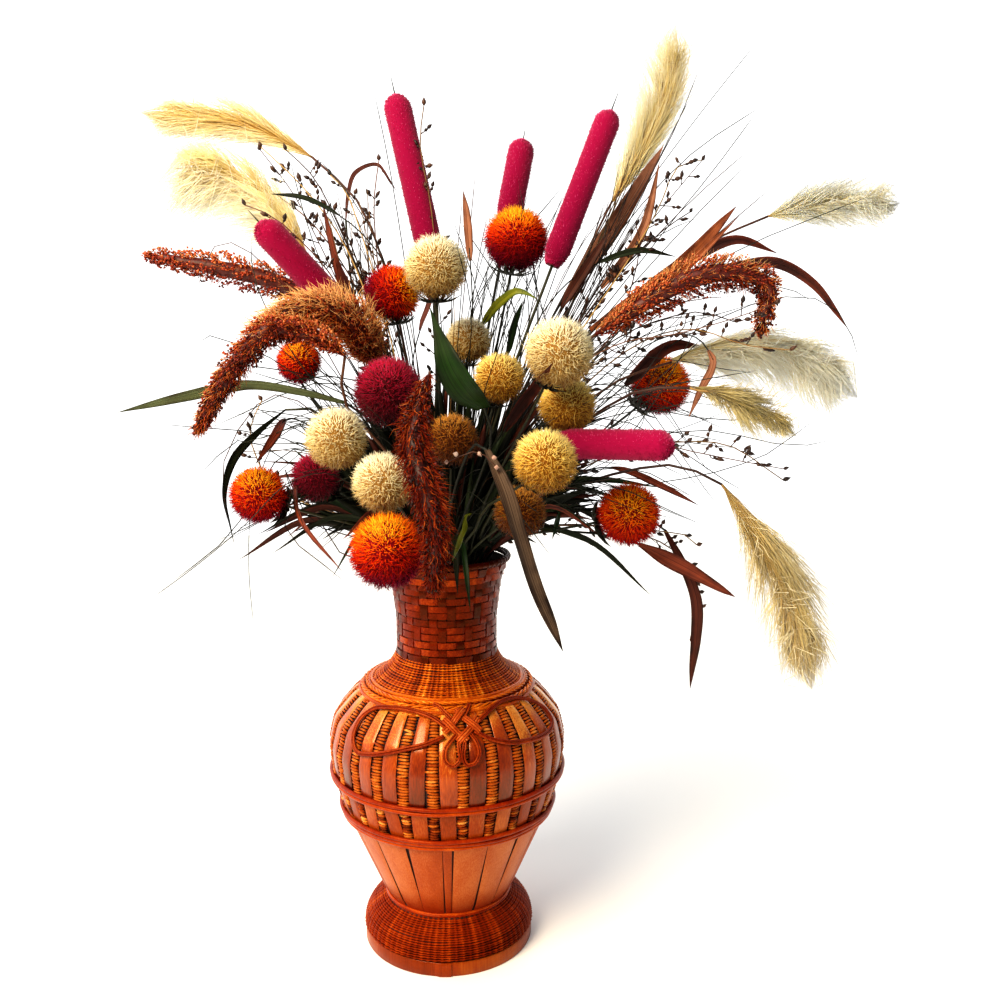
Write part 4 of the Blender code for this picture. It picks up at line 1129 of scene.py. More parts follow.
RUST_GRAIN = seed_finish(
    "rust_sorghum_grain", ((0.0, "#2E0805"), (0.35, "#781E08"), (0.65, "#B04418"), (1.0, "#E08A50"))
)
DARK_GRAIN = seed_finish(
    "dark_sorghum_grain", ((0.0, "#1C0403"), (0.35, "#4E0E06"), (0.65, "#7E240E"), (1.0, "#B4542A"))
)
RUST_BRISTLE = dried_fibre(
    "rust_sorghum_bristle", ((0.0, "#3E0A06"), (0.3, "#86260A"), (0.6, "#C45E24"), (1.0, "#EEB878")),
    "#5A160A", sheen=0.0, root_reach=0.4
)
# Each sorghum head: its grain's finish, how many grains and bristles it has, how bright its bristles are, and
# their
# least and greatest lengths in millimetres.
SORGHUM = {
    "sorghum_1": (RUST_GRAIN, 1900, 500, 0.5, (2, 6)),
    "sorghum_2": (RUST_GRAIN, 1900, 1200, 0.5, (3, 10)),
    "sorghum_3": (RUST_GRAIN, 2100, 1200, 0.62, (3, 9)),
    "sorghum_4": (DARK_GRAIN, 1000, 2100, 0.14, (4, 13)),
    "sorghum_5": (RUST_GRAIN, 1200, 2700, 0.85, (6, 20)),
}
BLUNT = 0.6  # the least width of a head towards its tip, as a share of its widest
SORGHUM_BRANCHES = 130


def add_sorghum(name, rng):
    """A sorghum head: short branches along the stalk, crowded with small round grains, and fine bristles."""
    finish, grains, bristles, bright, hair = SORGHUM[name]
    middles, wides, thins = rings_of(name)
    head = HEAD_RINGS["sorghum"]
    rows = curve_through(np.hstack([middles[-head:], wides[-head:], thins[-head:]]), HEAD_STEPS)
    reach = np.linalg.norm(rows[:, 3:6], axis=1)
    least = BLUNT * reach.max() * np.interp(np.arange(HEAD_STEPS), (0, 8, 54, 59), (0, 1, 1, 0.5))
    rows[:, 3:] *= (np.maximum(reach, least) / np.maximum(reach, 1e-4)).clip(1, 4)[:, None]
    ahead = unit(np.gradient(rows[:, :3], axis=0))
    piece = Piece()

    def along_head(share):
        place = np.clip(share, 0, 1) * (HEAD_STEPS - 1)
        return rows_at(np.hstack([rows, ahead]), place)

    def outward(rows_at, turn):
        return rows_at[:, 3:6] * np.cos(turn)[:, None] + rows_at[:, 6:9] * np.sin(turn)[:, None]

    branches = SORGHUM_BRANCHES
    share = (np.arange(branches) + 0.5) / branches * 0.97
    turn = np.arange(branches) * GOLDEN_ANGLE + rng.normal(0, 0.3, branches)
    near, far = along_head(share), along_head(np.minimum(share + 0.09, 1))
    roots = near[:, :3]
    tips = far[:, :3] + outward(far, turn) * rng.uniform(0.7, 1.0, branches)[:, None]
    bows = outward(near, turn) * 0.15
    tubes(
        piece, bent(roots, tips, bows, 4), (0.8 * MM, 0.6 * MM, 0.45 * MM, 0.0), tone=0.3, crown=0.2, finish=1
    )
    branch = rng.integers(0, branches, grains)
    t = rng.uniform(0.25, 1.0, grains)[:, None] ** 0.8
    place = roots[branch] * (1 - t) + tips[branch] * t + bows[branch] * 4 * t * (1 - t)
    place += rng.normal(0, 1.7 * MM, (grains, 3))
    way = unit(tips[branch] - roots[branch] + rng.normal(0, 4 * MM, (grains, 3)))
    size = rng.uniform(1.0, 1.6, grains)[:, None, None] * MM
    steps = np.array([-0.9, 0.0, 1.0])[None, :, None]
    paths = place[:, None] + way[:, None] * steps * size
    # painted light and shade: grains on branches that point up are brighter, those on branches that point down
    # darker
    upper = unit(tips[branch] - roots[branch])[:, 2]
    tone = np.clip(0.45 + 0.42 * upper + rng.normal(0, 0.18, grains), 0, 1)
    tubes(piece, paths, size[..., 0] * [[0.8, 1.05, 0.0]], capped=False, tone=tone)
    # A dark core inside the head: painted shade between the grains.
    core = 0.42 * np.linalg.norm(rows[:, 3:6], axis=1)
    tubes(piece, rows[::3, :3], core[::3], sides=9, tone=0.12)
    share = rng.uniform(0, 1, bristles) ** 0.9
    turn = rng.uniform(0, TURN, bristles)
    at = along_head(share)
    out = outward(at, turn)
    roots = at[:, :3] + out * 0.6
    tips = at[:, :3] + out * rng.uniform(0.85, 1.2, bristles)[:, None]
    tips += at[:, 9:] * rng.uniform(*hair, bristles)[:, None] * MM
    tips += rng.normal(0, 0.25 * hair[1] * MM, (bristles, 3))
    bows = rng.normal(0, 0.14 * hair[1] * MM, (bristles, 3))
    # painted light and shade: bristles that face up are brighter, those that face down darker
    crown = np.clip(bright + rng.normal(0, 0.15, bristles) + 0.3 * unit(out)[:, 2], 0, 1)
    values = {"crown": crown, "tone": rng.uniform(0, 1, bristles), "finish": 1}
    tubes(piece, bent(roots, tips, bows, 3), (0.42 * MM, 0.32 * MM, 0.0), capped=False, **values)
    tubes(piece, rows[:, :3], np.linspace(1.8, 0.5, HEAD_STEPS) * MM, sides=5, tone=0.4, finish=2)
    add_stem(piece, middles[: -head + 1], 1.8 * MM, rng, 2)
    piece.make(name + "_grains", (finish, RUST_BRISTLE, BROWN_STEM), (name,))


LEAVES = {
    "leaf_1": dried_leaf("ribbed_grey_brown_leaf", "#6E5A48", "#1C100C", "#342218", 1.1, 0.6),
    "leaf_2": dried_leaf("dark_green_leaf", "#1E3A10", "#0C1808", "#12240A", 1.6, 0.4),
    "leaf_3": dried_leaf("purple_brown_leaf", "#7A4A44", "#2E1614", "#4E2C28"),
    "leaf_4": dried_leaf("olive_grey_leaf", "#76825A", "#3E3E2A", "#525C3A", 1.0, 0.55),
    "leaf_5": dried_leaf("near_black_leaf", "#26301C", "#120E0A", "#181C12"),
    "leaf_6": dried_leaf("orange_brown_leaf", "#A8603A", "#54281A", "#804628"),
    "leaf_7": dried_leaf("pink_brown_sheath", "#B07C60", "#5A3424", "#84543E"),
    "leaf_8": dried_leaf("dark_purple_leaf", "#3A1C1A", "#6A3020", "#24100E"),
    "leaf_9": dried_leaf("red_brown_leaf", "#8A4028", "#361410", "#5C281A"),
    "leaf_10": dried_leaf("dark_red_brown_leaf", "#5A2A1C", "#240E0A", "#3A1812"),
}
# Near black: painted shade for the leaves crowded in the bouquet's middle.
SHADED_LEAF = dried_leaf("near_black_foliage", "#141A0E", "#120806", "#0A0D07", 1.2, 0.6)
GREEN_LEAF = dried_leaf("yellow_green_leaf", "#8E8E1E", "#4A5A14", "#6A741A", 1.2, 0.4)
# Shares along a leaf, and how wide it is there beside its solid.
LEAF_WIDTHS = {
    "leaf_2": ((0, 0.2, 0.45, 0.75, 1), (1.3, 1.2, 0.8, 0.36, 0.1)), "leaf_3": ((0, 1), (0.5, 0.5))
}
BLADE_THICK = 0.35 * MM


def blade(piece, middles, wides, normals, fold, ribs=0, finish=0):
    """A leaf blade: folded along its midrib, ribbed where it has ribs, its edge thin and its end a point."""
    count = 4 * ribs + 1 if ribs else 7
    across = np.linspace(-1, 1, count)
    ridge = 0.5 * (1 + np.cos(TURN * ribs * across / 2)) if ribs else 0 * across
    widths = np.linalg.norm(wides, axis=-1)[:, None]
    lift = (np.abs(across) ** 1.4 * fold)[None] * widths + ridge[None] * np.minimum(0.5 * MM, 0.12 * widths)
    body = middles[:, None] + wides[:, None] * across[:, None]
    half = BLADE_THICK / 2 * (1 - across**2) + 0.04 * MM
    top = body + normals[:, None] * (lift + half)[..., None]
    under = body + normals[:, None] * (lift - half)[..., None]
    rings = np.concatenate([under, top[:, ::-1]], axis=1)[None]
    edge = np.concatenate([np.abs(across), np.abs(across[::-1])])
    steps = len(middles)
    worn = np.clip(0.2 + 0.7 * edge[None] ** 2 + 0.7 * np.linspace(0, 1, steps)[:, None] ** 2, 0, 1)
    beside = np.tile(np.concatenate([across, across[::-1]]), steps - 1) * widths.max() / MM
    skin(piece, rings[:, :-1], tips=middles[None, -1], finish=finish)
    piece.values["crown"][-1] = np.concatenate([worn[:-1].ravel(), [1.0]])
    piece.values["tone"][-1] = np.concatenate([beside, [0.0]])


def add_leaf(name, rng):
    """A leaf's blade on its stem, turned a little to and fro along its length."""
    middles, wides, _ = rings_of(name)
    head = HEAD_RINGS["leaf"]
    wides[-1] = 0
    rows = curve_through(np.hstack([middles[-head:], wides[-head:]]), 40)
    ahead = unit(np.gradient(rows[:, :3], axis=0))
    wide = rows[:, 3:6]
    start = unit(wide[20])
    normals = unit(np.cross(ahead, start))
    normals *= np.sign(normals[20, 1]) * -1 if abs(normals[20, 1]) > 0.1 else 1
    sway = np.sin(np.linspace(0, 2.2 * math.pi, 40) + rng.uniform(0, TURN))
    wide = wide + normals * np.linalg.norm(wide, axis=1, keepdims=True) * 0.25 * sway[:, None]
    wide *= np.interp(np.linspace(0, 1, 40), *LEAF_WIDTHS.get(name, ((0, 1), (1, 1))))[:, None]
    piece = Piece()
    blade(piece, rows[:, :3], wide, normals, fold=rng.uniform(0.15, 0.35), ribs=7 if name == "leaf_1" else 0)
    add_stem(piece, middles[: -head + 1], 1.5 * MM, rng, 1)
    piece.make(name + "_blade", (LEAVES[name], DARK_STEM), (name,))


BUD = dry_stem("dark_dried_bud", ((0.0, "#120806"), (0.5, "#2E1812"), (1.0, "#5A3A26")), 0.5)


def buds(piece, roots, ways, long, wide, rng, finish):
    """Small pointed buds, fattest below their middles."""
    t = np.linspace(0, 1, 5)[None, :, None]
    long = long * rng.uniform(0.7, 1.2, (len(roots), 1, 1))
    paths = roots[:, None] + ways[:, None] * t * long
    radii = wide * np.array([0.45, 1.0, 0.95, 0.5, 0.0])[None] * rng.uniform(0.8, 1.15, (len(roots), 1))
    tubes(piece, paths, radii, sides=4, tone=rng.uniform(0.1, 0.9, len(roots)), finish=finish)


def branch_out(piece, path, rng, start, gap=15 * MM, reach=(8 * MM, 26 * MM)):
    """Side twiglets on alternate sides of a twig, with buds at their ends and along them."""
    length = np.linalg.norm(np.diff(path, axis=0), axis=1).sum()
    places = np.arange(start * length, 0.97 * length, gap) / length
    index = np.clip((places + rng.normal(0, 0.01, len(places))) * (len(path) - 1), 0, len(path) - 1)
    at = rows_at(path, index)
    ahead = unit(path[-1] - path[len(path) // 2])
    side = unit(np.cross(ahead, TO_FRONT + rng.normal(0, 0.3, 3)))
    signs = np.where(np.arange(len(at)) % 2, 1.0, -1.0)[:, None]
    ways = unit(
        ahead + side * signs * rng.uniform(0.5, 1.1, (len(at), 1)) + rng.normal(0, 0.25, (len(at), 3))
    )
    lengths = rng.uniform(*reach, (len(at), 1)) * np.linspace(1.1, 0.6, len(at))[:, None]
    tips = at + ways * lengths
    thick = np.array([0.7, 0.65, 0.6, 0.55, 0.45]) * MM
    tubes(piece, bent(at, tips, rng.normal(0, 1 * MM, at.shape), 5), thick, ends="blunt", tone=0.3)
    buds(piece, tips, ways, 8.0 * MM, 2.3 * MM, rng, 1)
    halfway = at + ways * lengths * rng.uniform(0.4, 0.7, (len(at), 1))
    buds(piece, halfway, unit(ways + side * signs * 0.6), 5.5 * MM, 1.7 * MM, rng, 1)
    buds(piece, path[-1:], ahead[None], 8 * MM, 2.2 * MM, rng, 1)


def add_twig(name, rng):
    middles, _, _ = rings_of(name)
    piece = Piece()
    path = curve_through(middles, 60)
    tubes(piece, path, np.linspace(1.5, 0.5, 60) * MM, sides=5, ends="blunt", tone=rng.uniform(0.3, 0.8))
    branch_out(piece, path, rng, start=0.62)
    piece.make(name + "_with_buds", (BROWN_STEM, BUD), (name,))


def add_grass_stalk(name, rng):
    middles, _, _ = rings_of(name)
    piece = Piece()
    path = curve_through(middles, 60)
    tubes(piece, path, np.linspace(1.1, 0.35, 60) * MM, sides=4, tone=rng.uniform(0.3, 0.7))
    piece.make(name + "_stem", (DARK_STEM,), (name,))


# The finer growth, each by where the photograph shows its bends and its tip (pixels), and its depth at the
# tip (metres).
STEM_FOOT, NECK_ROOM = 0.0045, (0.018, 0.046)  # a height, and how far from the middle the stems pass the neck
DARK_GRASS = (
    (0.10, (690, 155), (768, 102)), (0.07, (658, 239), (712, 172), (764, 102)), (0.12, (681, 115), (701, 64)),
    (0.12, (640, 200), (666, 144), (697, 85)), (0.02, (700, 211), (753, 158)), (0.04, (692, 200), (756, 144)),
    (0.08, (625, 200), (655, 137)), (0.05, (578, 250), (595, 220)), (0.05, (545, 240), (568, 183)),
    (0.10, (467, 260), (476, 165)), (0.08, (455, 280), (463, 190)), (0.03, (480, 250), (490, 205)),
    (0.06, (388, 160), (372, 82)), (-0.02, (520, 220), (532, 180)), (0.06, (700, 250), (778, 182)),
    (0.0, (766, 237), (801, 223), (877, 193)), (0.02, (799, 293), (820, 306)),
    (-0.03, (849, 328), (862, 370)),
    (-0.08, (691, 392), (778, 433)), (-0.05, (700, 430), (808, 445), (841, 438)),
    (-0.10, (729, 468), (761, 457), (822, 414)),
    (-0.06, (640, 470), (698, 500)), (-0.05, (650, 480), (696, 498)), (-0.04, (560, 492), (590, 530)),
    (-0.03, (575, 500), (592, 524)), (-0.06, (690, 300), (742, 296)), (-0.07, (660, 320), (735, 314)),
    (-0.10, (300, 470), (240, 440), (195, 480)), (-0.12, (290, 450), (225, 540), (168, 585)),
    (-0.08, (262, 400), (222, 470), (228, 520)),
    (-0.10, (350, 560), (300, 500), (285, 520), (350, 586)), (-0.12, (310, 520), (285, 470), (310, 545)),
    (-0.05, (240, 345), (200, 336), (194, 345)), (0.0, (205, 262), (195, 300)),
    (0.04, (300, 200), (288, 151)),
    (0.05, (352, 199), (310, 149)), (0.02, (251, 249), (252, 235)), (-0.14, (470, 300), (455, 240)),
    (-0.16, (545, 525), (518, 498)), (0.05, (430, 250), (408, 170)),
    (0.05, (600, 300), (650, 240), (705, 215)),
    (-0.02, (600, 330), (680, 300), (730, 240)), (-0.1, (640, 410), (720, 420), (800, 416)),
    (-0.08, (600, 400), (700, 380), (760, 370)),
)
SEED_TWIGS = (
    (0.08, (330, 221), (301, 185), (261, 147)), (0.08, (345, 240), (311, 174), (286, 150)),
    (0.05, (340, 260), (310, 221), (270, 190)),
    (0.06, (377, 256), (374, 200), (379, 160)), (0.10, (660, 205), (678, 167), (702, 160)),
    (0.06, (640, 251), (670, 225), (690, 212)),
    (0.02, (633, 280), (640, 241), (636, 225)), (-0.02, (660, 320), (700, 312), (735, 322)),
    (-0.05, (680, 442), (724, 444), (783, 480)),
    (-0.03, (667, 532), (683, 534), (697, 545)), (0.02, (690, 570), (697, 600), (690, 640)),
    (0.04, (430, 200), (420, 140), (424, 105)),
    (-0.04, (262, 470), (250, 430), (262, 400)), (0.0, (300, 240), (270, 215), (245, 205)),
    (0.05, (360, 230), (345, 190), (330, 175)),
    (-0.12, (700, 330), (745, 345), (790, 350)),
)
# Sheaves: how many stems, their finish, the areas of the photograph that they pass and end in (left, top,
# right,
# bottom), and their depths at the tip.
SHEAVES = (
    (14, 1, (352, 290, 392, 345), (305, 170, 372, 240), (0.0, 0.06)),
    (12, 2, (352, 290, 392, 345), (305, 160, 372, 240), (0.0, 0.06)),
    (26, 0, (465, 300, 560, 360), (440, 175, 600, 262), (0.02, 0.10)),
    (18, 2, (556, 262, 600, 330), (604, 140, 668, 222), (0.02, 0.08)),
    (8, 1, (556, 262, 600, 330), (604, 130, 668, 222), (0.02, 0.08)),
    (34, 0, (585, 330, 640, 470), (660, 290, 770, 520), (-0.06, 0.06)),
    (28, 0, (330, 380, 400, 480), (200, 320, 310, 545), (-0.10, 0.05)),
    (12, 0, (540, 470, 600, 520), (600, 490, 700, 560), (-0.06, 0.02)),
    (12, 0, (360, 470, 420, 530), (280, 470, 350, 560), (-0.10, 0.0)),
)
# Blades: depth, half-width in millimetres, finish, then their bends and tip.
BLADES = (
    (0.0, 9.0, "leaf_8", (372, 345), (350, 290), (333, 249)),
    (-0.19, 7.0, "leaf_8", (505, 430), (535, 385), (553, 362)),
    (0.02, 8.0, "leaf_8", (626, 384), (672, 346), (706, 347)),
    (-0.06, 4.5, "leaf_7", (706, 347), (713, 360), (700, 391), (688, 419)),
    (-0.10, 4.0, "leaf_9", (616, 468), (660, 485), (700, 506)),
    (-0.14, 4.0, "leaf_9", (300, 470), (298, 510), (343, 573)),
    (-0.11, 5.0, "leaf_9", (285, 420), (275, 435), (255, 465)),
    (0.0, 4.0, "leaf_5", (333, 212), (303, 198), (270, 194)),
    (0.01, 4.0, "leaf_5", (603, 261), (640, 251), (677, 257)),
    (0.02, 6.0, "leaf_8", (690, 262), (735, 240), (779, 254)),
    (-0.02, 5.0, "leaf_2", (508, 350), (515, 320), (523, 300)),
    (-0.04, 5.0, "leaf_3", (420, 330), (432, 300), (440, 262)),
    (0.03, 6.0, "leaf_7", (600, 290), (640, 235), (660, 160)),
    (0.0, 6.0, "leaf_10", (560, 310), (590, 262), (612, 228)),
    (0.02, 5.0, "leaf_9", (345, 300), (330, 235), (322, 200)),
    (-0.05, 6.0, "leaf_4", (395, 455), (350, 450), (320, 440)),
    (0.05, 5.0, "leaf_7", (470, 260), (466, 210), (463, 190)),
    (-0.05, 5.0, "leaf_6", (620, 330), (700, 255), (740, 215)),
    (-0.10, 6.0, "leaf_4", (400, 470), (370, 478), (348, 470)),
    (-0.06, 7.0, "leaf_2", (575, 490), (560, 510), (552, 540)),
)
YELLOW_BLADES = (
    (-0.21, 5.5, (468, 515), (462, 532), (452, 562)),
    (-0.03, 5.0, (484, 322), (500, 302), (518, 291), (538, 300)),
)
PALE_BUDS = ((478, 452), (492, 458), (497, 468), (500, 478), (505, 489), (448, 462), (458, 455))
PALE_BUD_DEPTH = -0.20
SIDE_STALKS, BRIM_BLADES = 120, 34  # all round, where the photograph doesn't show them one by one


def from_mouth(points, rng):
    """A stem's way: from the base mat through the neck, on the side that it leans to, and on through points."""
    bearing = math.atan2(points[0][1], points[0][0]) + rng.normal(0, 0.35)
    radius = rng.uniform(*NECK_ROOM)
    way = np.array([math.cos(bearing), math.sin(bearing), 0.0])
    return np.array([way * radius + UP * z for z in (STEM_FOOT, 0.3, NECK_TOP)] + list(points))


def placed(depth, marks):
    """Photograph points as places, nearer to the vase's middle at first and at the given depth at the tip."""
    share = np.linspace(1 / len(marks), 1, len(marks)) if len(marks) > 1 else [1.0]
    return [seen(x, y, depth * s) for s, (x, y) in zip(share, marks)]


def add_fine_growth():
    """The many thin stems, seeded twigs and spare blades that fill the bouquet."""
    rng = np.random.default_rng(SEED + 1)
    stalks = Piece()
    for depth, *marks in DARK_GRASS:
        path = curve_through(from_mouth(placed(depth, marks), rng), 26)
        tubes(
            stalks, path, np.linspace(1.2, 0.55, 26) * MM, sides=3, tone=rng.uniform(0.0, 0.6),
            finish=2 * int(rng.uniform() < 0.3),
        )
    for count, finish, passed, ended, depths in SHEAVES:
        for _ in range(count):
            marks = [(rng.uniform(x0, x1), rng.uniform(y0, y1)) for x0, y0, x1, y1 in (passed, ended)]
            path = curve_through(from_mouth(placed(rng.uniform(*depths), marks), rng), 22)
            thick = rng.uniform(0.8, 1.3) * np.linspace(1.0, 0.5, 22) * MM
            tubes(stalks, path, thick, sides=3, tone=rng.uniform(0.0, 0.7), finish=finish)
    for _ in range(SIDE_STALKS):
        bearing = rng.uniform(0, TURN)
        tilt = rng.uniform(0.1, 1.25)
        reach = rng.uniform(0.16, 0.38)
        way = leaning(bearing, tilt, 0.75)
        tip = np.array([0, 0, NECK_TOP]) + way * reach
        tip[2] -= 0.25 * reach * tilt**2 * 0.5
        tip = np.clip(tip, np.array(CAD_BOX[0]) + 0.01, np.array(CAD_BOX[1]) - 0.01)
        middle = np.array([0, 0, NECK_TOP]) + way * reach * 0.5 + UP * 0.03 * tilt
        path = curve_through(from_mouth([middle, tip], rng), 18)
        tubes(
            stalks, path, np.linspace(1.2, 0.55, 18) * MM, sides=3, tone=rng.uniform(0.0, 0.6),
            finish=int(rng.uniform() < 0.2),
        )
    stalks.make("fine_grass_stalks", (DARK_STEM, TAN_STEM, BROWN_STEM))
    twigs = Piece()
    for depth, *marks in SEED_TWIGS:
        path = curve_through(from_mouth(placed(depth, marks), rng), 40)
        finish = 2 if rng.uniform() < 0.4 else 0
        tubes(
            twigs, path, np.linspace(1.5, 0.6, 40) * MM, sides=4, ends="blunt", tone=rng.uniform(0.2, 0.9),
            finish=finish,
        )
        branch_out(twigs, path, rng, start=0.68, gap=14 * MM, reach=(6 * MM, 18 * MM))
    twigs.make("fine_seeded_twigs", (BROWN_STEM, BUD, TAN_STEM))
    names = list(LEAVES)
    blades = Piece()
    for depth, half, finish, *marks in BLADES:
        add_blade(blades, placed(depth, marks), half * MM, names.index(finish), rng)
    for depth, half, *marks in YELLOW_BLADES:
        add_blade(blades, placed(depth, marks), half * MM, len(names), rng)
    for _ in range(BRIM_BLADES):
        bearing = rng.uniform(0, TURN)
        tilt = rng.uniform(0.9, 2.0)
        reach = rng.uniform(0.10, 0.2)
        way = leaning(bearing, tilt, 0.8)
        brim = np.array([math.cos(bearing), math.sin(bearing), 0.0]) * 0.07 + UP * (NECK_TOP + 0.035)
        reach = min(reach, (0.16 - abs(brim[1])) / max(abs(way[1]), 0.1))
        points = [brim, brim + way * reach * 0.5 + UP * 0.02, brim + way * reach - UP * 0.02]
        if points[-1][2] < NECK_TOP - 0.07:
            points[-1][2] = NECK_TOP - 0.07
        add_blade(blades, points, rng.uniform(2.5, 5.0) * MM, int(rng.choice([1, 4, 7, 9])), rng)
    blades.make("spare_blades", (*LEAVES.values(), GREEN_LEAF, DARK_STEM))
    add_shaded_foliage(rng)
    add_pale_buds(rng)
    add_hidden_thistle(rng)


SHADED_LEAVES = (300, 90, 60)  # of each of their three shades
# the corners of the space that their tips stay in, metres
SHADED_ROOM = ((-0.16, -0.06, 0.40), (0.17, 0.10, 0.72))
SHADED_WIDTHS = (0.2, 0.2, 0.2, 0.35, 0.8, 1.0, 0.8, 0.45, 0.0)  # from foot to tip, as shares of the widest


def add_shaded_foliage(rng):
    """Narrow leaves crowded between the flowers, painted near black: painted shade for the bouquet's middle."""
    piece = Piece()
    for finish, count in enumerate(SHADED_LEAVES):
        bearing, tilt = rng.uniform(0, TURN, count), rng.uniform(0.05, 1.3, count)
        flat = np.stack([np.cos(bearing), np.sin(bearing), 0 * bearing], axis=-1)
        way = flat * np.sin(tilt)[:, None] + UP * np.cos(tilt)[:, None]
        foot = flat * rng.uniform(*NECK_ROOM, (count, 1))
        mouth = foot + UP * NECK_TOP
        tip = np.clip(mouth + way * rng.uniform(0.06, 0.24, (count, 1)), *SHADED_ROOM)
        t = np.linspace(0, 1, len(SHADED_WIDTHS) - 2)[None, :, None]
        bow = UP * 0.02 + rng.normal(0, 0.006, (count, 3))
        out = mouth[:, None] * (1 - t) + tip[:, None] * t + bow[:, None] * 4 * t * (1 - t)
        below = np.stack([foot + UP * STEM_FOOT, foot + UP * 0.25], axis=1)
        paths = np.concatenate([below, out], axis=1)
        half = rng.uniform(3.0, 6.5, (count, 1)) * MM * np.array(SHADED_WIDTHS)
        facing = unit(TO_FRONT + rng.normal(0, 0.5, (count, 1, 3)))
        tone = rng.uniform(0, 30, count)
        tubes(piece, paths, half, sides=4, flat=0.12, facing=facing, tone=tone, crown=0.3, finish=finish)
    piece.make("shaded_foliage", (SHADED_LEAF, LEAVES["leaf_5"], LEAVES["leaf_10"]))


def add_blade(piece, points, half, finish, rng):
    """A spare blade at the end of its own thin stem."""
    path = curve_through(from_mouth(points, rng), 60)
    start = int(np.argmin(np.linalg.norm(path - points[0], axis=1)))
    tubes(piece, path[: start + 2], 0.9 * MM, ends="blunt", tone=0.3, finish=len(LEAVES) + 1)
    rows = curve_through(path[start:], 16)
    ahead = unit(np.gradient(rows, axis=0))
    turned = unit(TO_FRONT + rng.normal(0, 0.35, 3))
    across = unit(np.cross(ahead, turned))
    share = np.linspace(0, 1, 16)
    widths = half * np.interp(share, (0, 0.12, 0.4, 0.7, 1.0), (0.3, 0.8, 1.0, 0.75, 0.0))
    normals = unit(np.cross(across, ahead))
    blade(piece, rows, across * widths[:, None], normals, fold=rng.uniform(0.1, 0.5), finish=finish)


PALE_BUD = seed_finish("pale_pink_bud", ((0.0, "#9A6A5A"), (0.5, "#CEB0A0"), (1.0, "#F0E0D6")))


def add_pale_buds(rng):
    """A short string of small pale buds at the front of the bouquet."""
    piece = Piece()
    places = np.array([seen(x, y, PALE_BUD_DEPTH) for x, y in PALE_BUDS])
    path = curve_through(from_mouth(list(places[[5, 0, 2, 4]]), rng), 60)
    tubes(piece, path, 0.6 * MM, sides=4, ends="blunt", tone=0.5, finish=1)
    ways = unit(rng.normal(0, 1, places.shape) + TO_FRONT)
    buds(piece, places, ways, 6 * MM, 2.6 * MM, rng, 0)
    piece.make("pale_bud_string", (PALE_BUD, BROWN_STEM))


HIDDEN_THISTLE = (299, 362, 0.02)  # its point of the photograph, in pixels, and its depth


def add_hidden_thistle(rng):
    """A dyed thistle deep in the bouquet, behind the sorghum."""
    piece = Piece()
    centre = seen(*HIDDEN_THISTLE)
    bristle_ball(piece, centre, 0.026, FORWARD, 0.14, 1.9, rng)
    add_stem(piece, from_mouth([centre - UP * 0.02], rng), 1.5 * MM, rng, 1)
    piece.make("half_hidden_thistle", (ORANGE_BRISTLE, DARK_STEM))


MAKERS = {
    "thistle": add_thistle, "cattail": add_cattail, "pampas": add_plume, "sorghum": add_sorghum,
    "leaf": add_leaf, "twig": add_twig, "grass": add_grass_stalk,
}


def add_plants():
    for place, name in enumerate(sorted(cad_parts)):
        kind = next((kind for kind in MAKERS if kind in name), None)
        if kind:
            MAKERS[kind](name, np.random.default_rng(SEED + 10 + place))
    add_fine_growth()


# The picture

PALE_FLOOR = 2.6  # radius, metres
# The world's strength behind the vase and in front of it, and how much of what lights it from behind the
# right lacks.
BACKDROP_LIGHT, ROOM_LIGHT, DIM_TO_RIGHT = 1.3, 0.26, 0.6
KEY_STRENGTH, KEY_FROM = 2.25, (-0.9, -1.0, 1.35)


def add_floor():
    """A pale studio floor under the vase."""
    material, tree = new_finish("pale_studio_floor")
    lit(tree, linear("#F4F4F2"), Roughness=0.9)
    bpy.ops.mesh.primitive_circle_add(
        vertices=96, radius=PALE_FLOOR, fill_type="NGON", location=(0, 0, -0.3 * MM)
    )
    floor = bpy.context.object
    floor.name = "studio_floor"
    floor.data.materials.append(material)


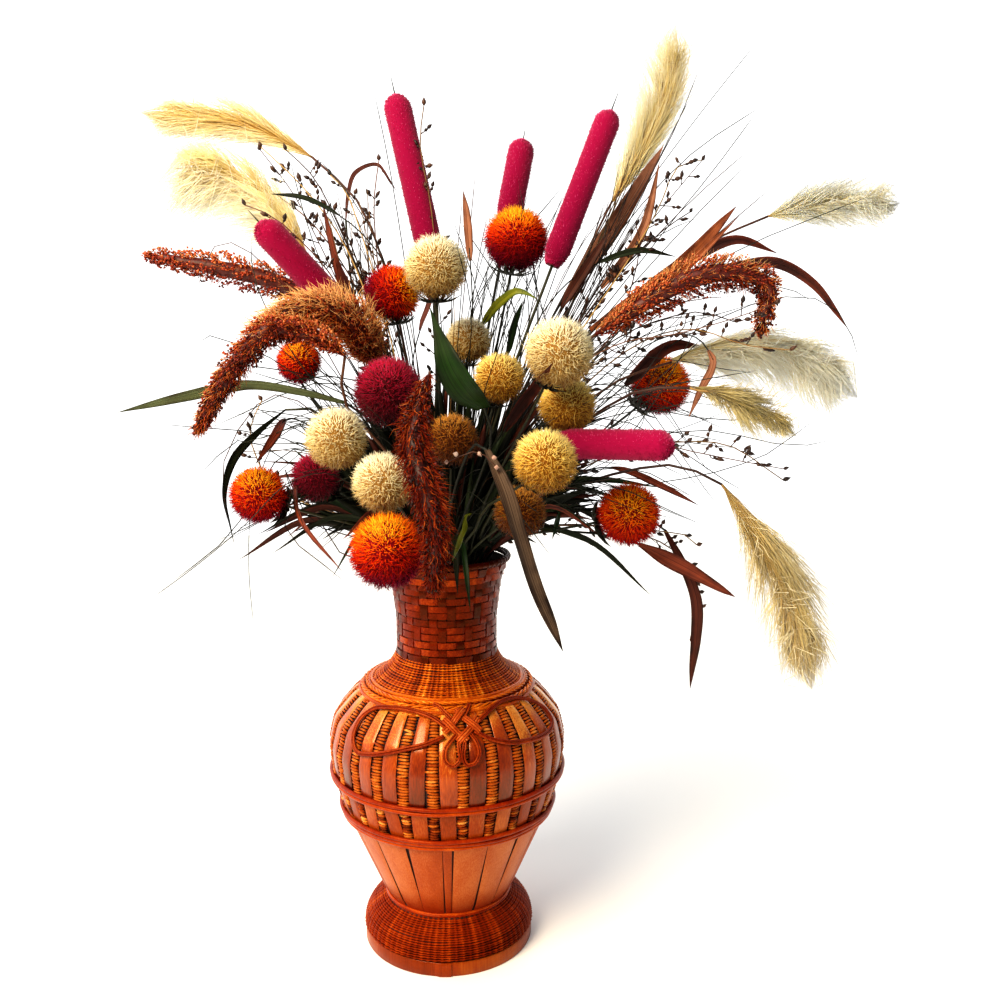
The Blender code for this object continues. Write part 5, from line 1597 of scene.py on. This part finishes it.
def add_light(name, place, aim, size, watts, colour="#FFFFFF"):
    lamp = bpy.data.lights.new(name, "AREA")
    lamp.shape, lamp.size, lamp.energy, lamp.color = "DISK", size, watts, linear(colour)[:3]
    made = bpy.data.objects.new(name, lamp)
    made.location = place
    made.rotation_euler = (Vector(aim) - Vector(place)).to_track_quat("-Z", "Y").to_euler()
    bpy.context.scene.collection.objects.link(made)


def add_studio():
    """A white backdrop's light from behind, a dimmer room in front, and a soft key from the upper left."""
    scene = bpy.context.scene
    world = bpy.data.worlds.new("white_backdrop_studio")
    world.use_nodes = True
    tree = world.node_tree
    tree.nodes.clear()
    ways = add_node(tree, "SeparateXYZ", {0: add_node(tree, "TexCoord")["Generated"]})
    way = add_node(tree, "Math", {0: ways["X"], 1: -DIM_TO_RIGHT, 2: ways["Y"]}, operation="MULTIPLY_ADD")[0]
    levels = {"From Min": -0.4, "From Max": 0.6, "To Min": ROOM_LIGHT, "To Max": BACKDROP_LIGHT}
    around = add_node(tree, "MapRange", {"Value": way, **levels}, interpolation_type="SMOOTHSTEP")[0]
    by_camera = add_node(tree, "LightPath")["Is Camera Ray"]
    backdrop = add_node(tree, "Math", {0: by_camera, 1: BACKDROP_LIGHT}, operation="MULTIPLY")[0]
    strength = add_node(tree, "Math", {0: around, 1: backdrop}, operation="MAXIMUM")[0]
    background = add_node(tree, "Background", {"Color": linear("#FFFFFF"), "Strength": strength})[0]
    add_node(tree, "OutputWorld", {"Surface": background})
    scene.world = world
    sun = bpy.data.lights.new("soft_key", "SUN")
    sun.energy, sun.angle, sun.color = KEY_STRENGTH, math.radians(35), linear("#FFF8EE")[:3]
    key = bpy.data.objects.new("soft_key", sun)
    key.rotation_euler = (-Vector(KEY_FROM)).to_track_quat("-Z", "Y").to_euler()
    scene.collection.objects.link(key)
    add_light("window_softbox", (-0.9, -1.2, 1.5), (0, 0, 0.35), 1.0, 30, "#FFE2B0")
    lens = bpy.data.cameras.new("photograph_camera")
    lens.sensor_width, lens.lens = SENSOR, FOCAL_LENGTH / PHOTO_SIZE * SENSOR
    camera = bpy.data.objects.new("photograph_camera", lens)
    camera.location, camera.rotation_euler = CAMERA_PLACE, CAMERA_TURN
    scene.collection.objects.link(camera)
    scene.camera = camera
    scene.view_settings.view_transform = "Standard"
    scene.view_settings.look = "Medium High Contrast"


add_vase()
add_plants()
add_floor()
add_studio()
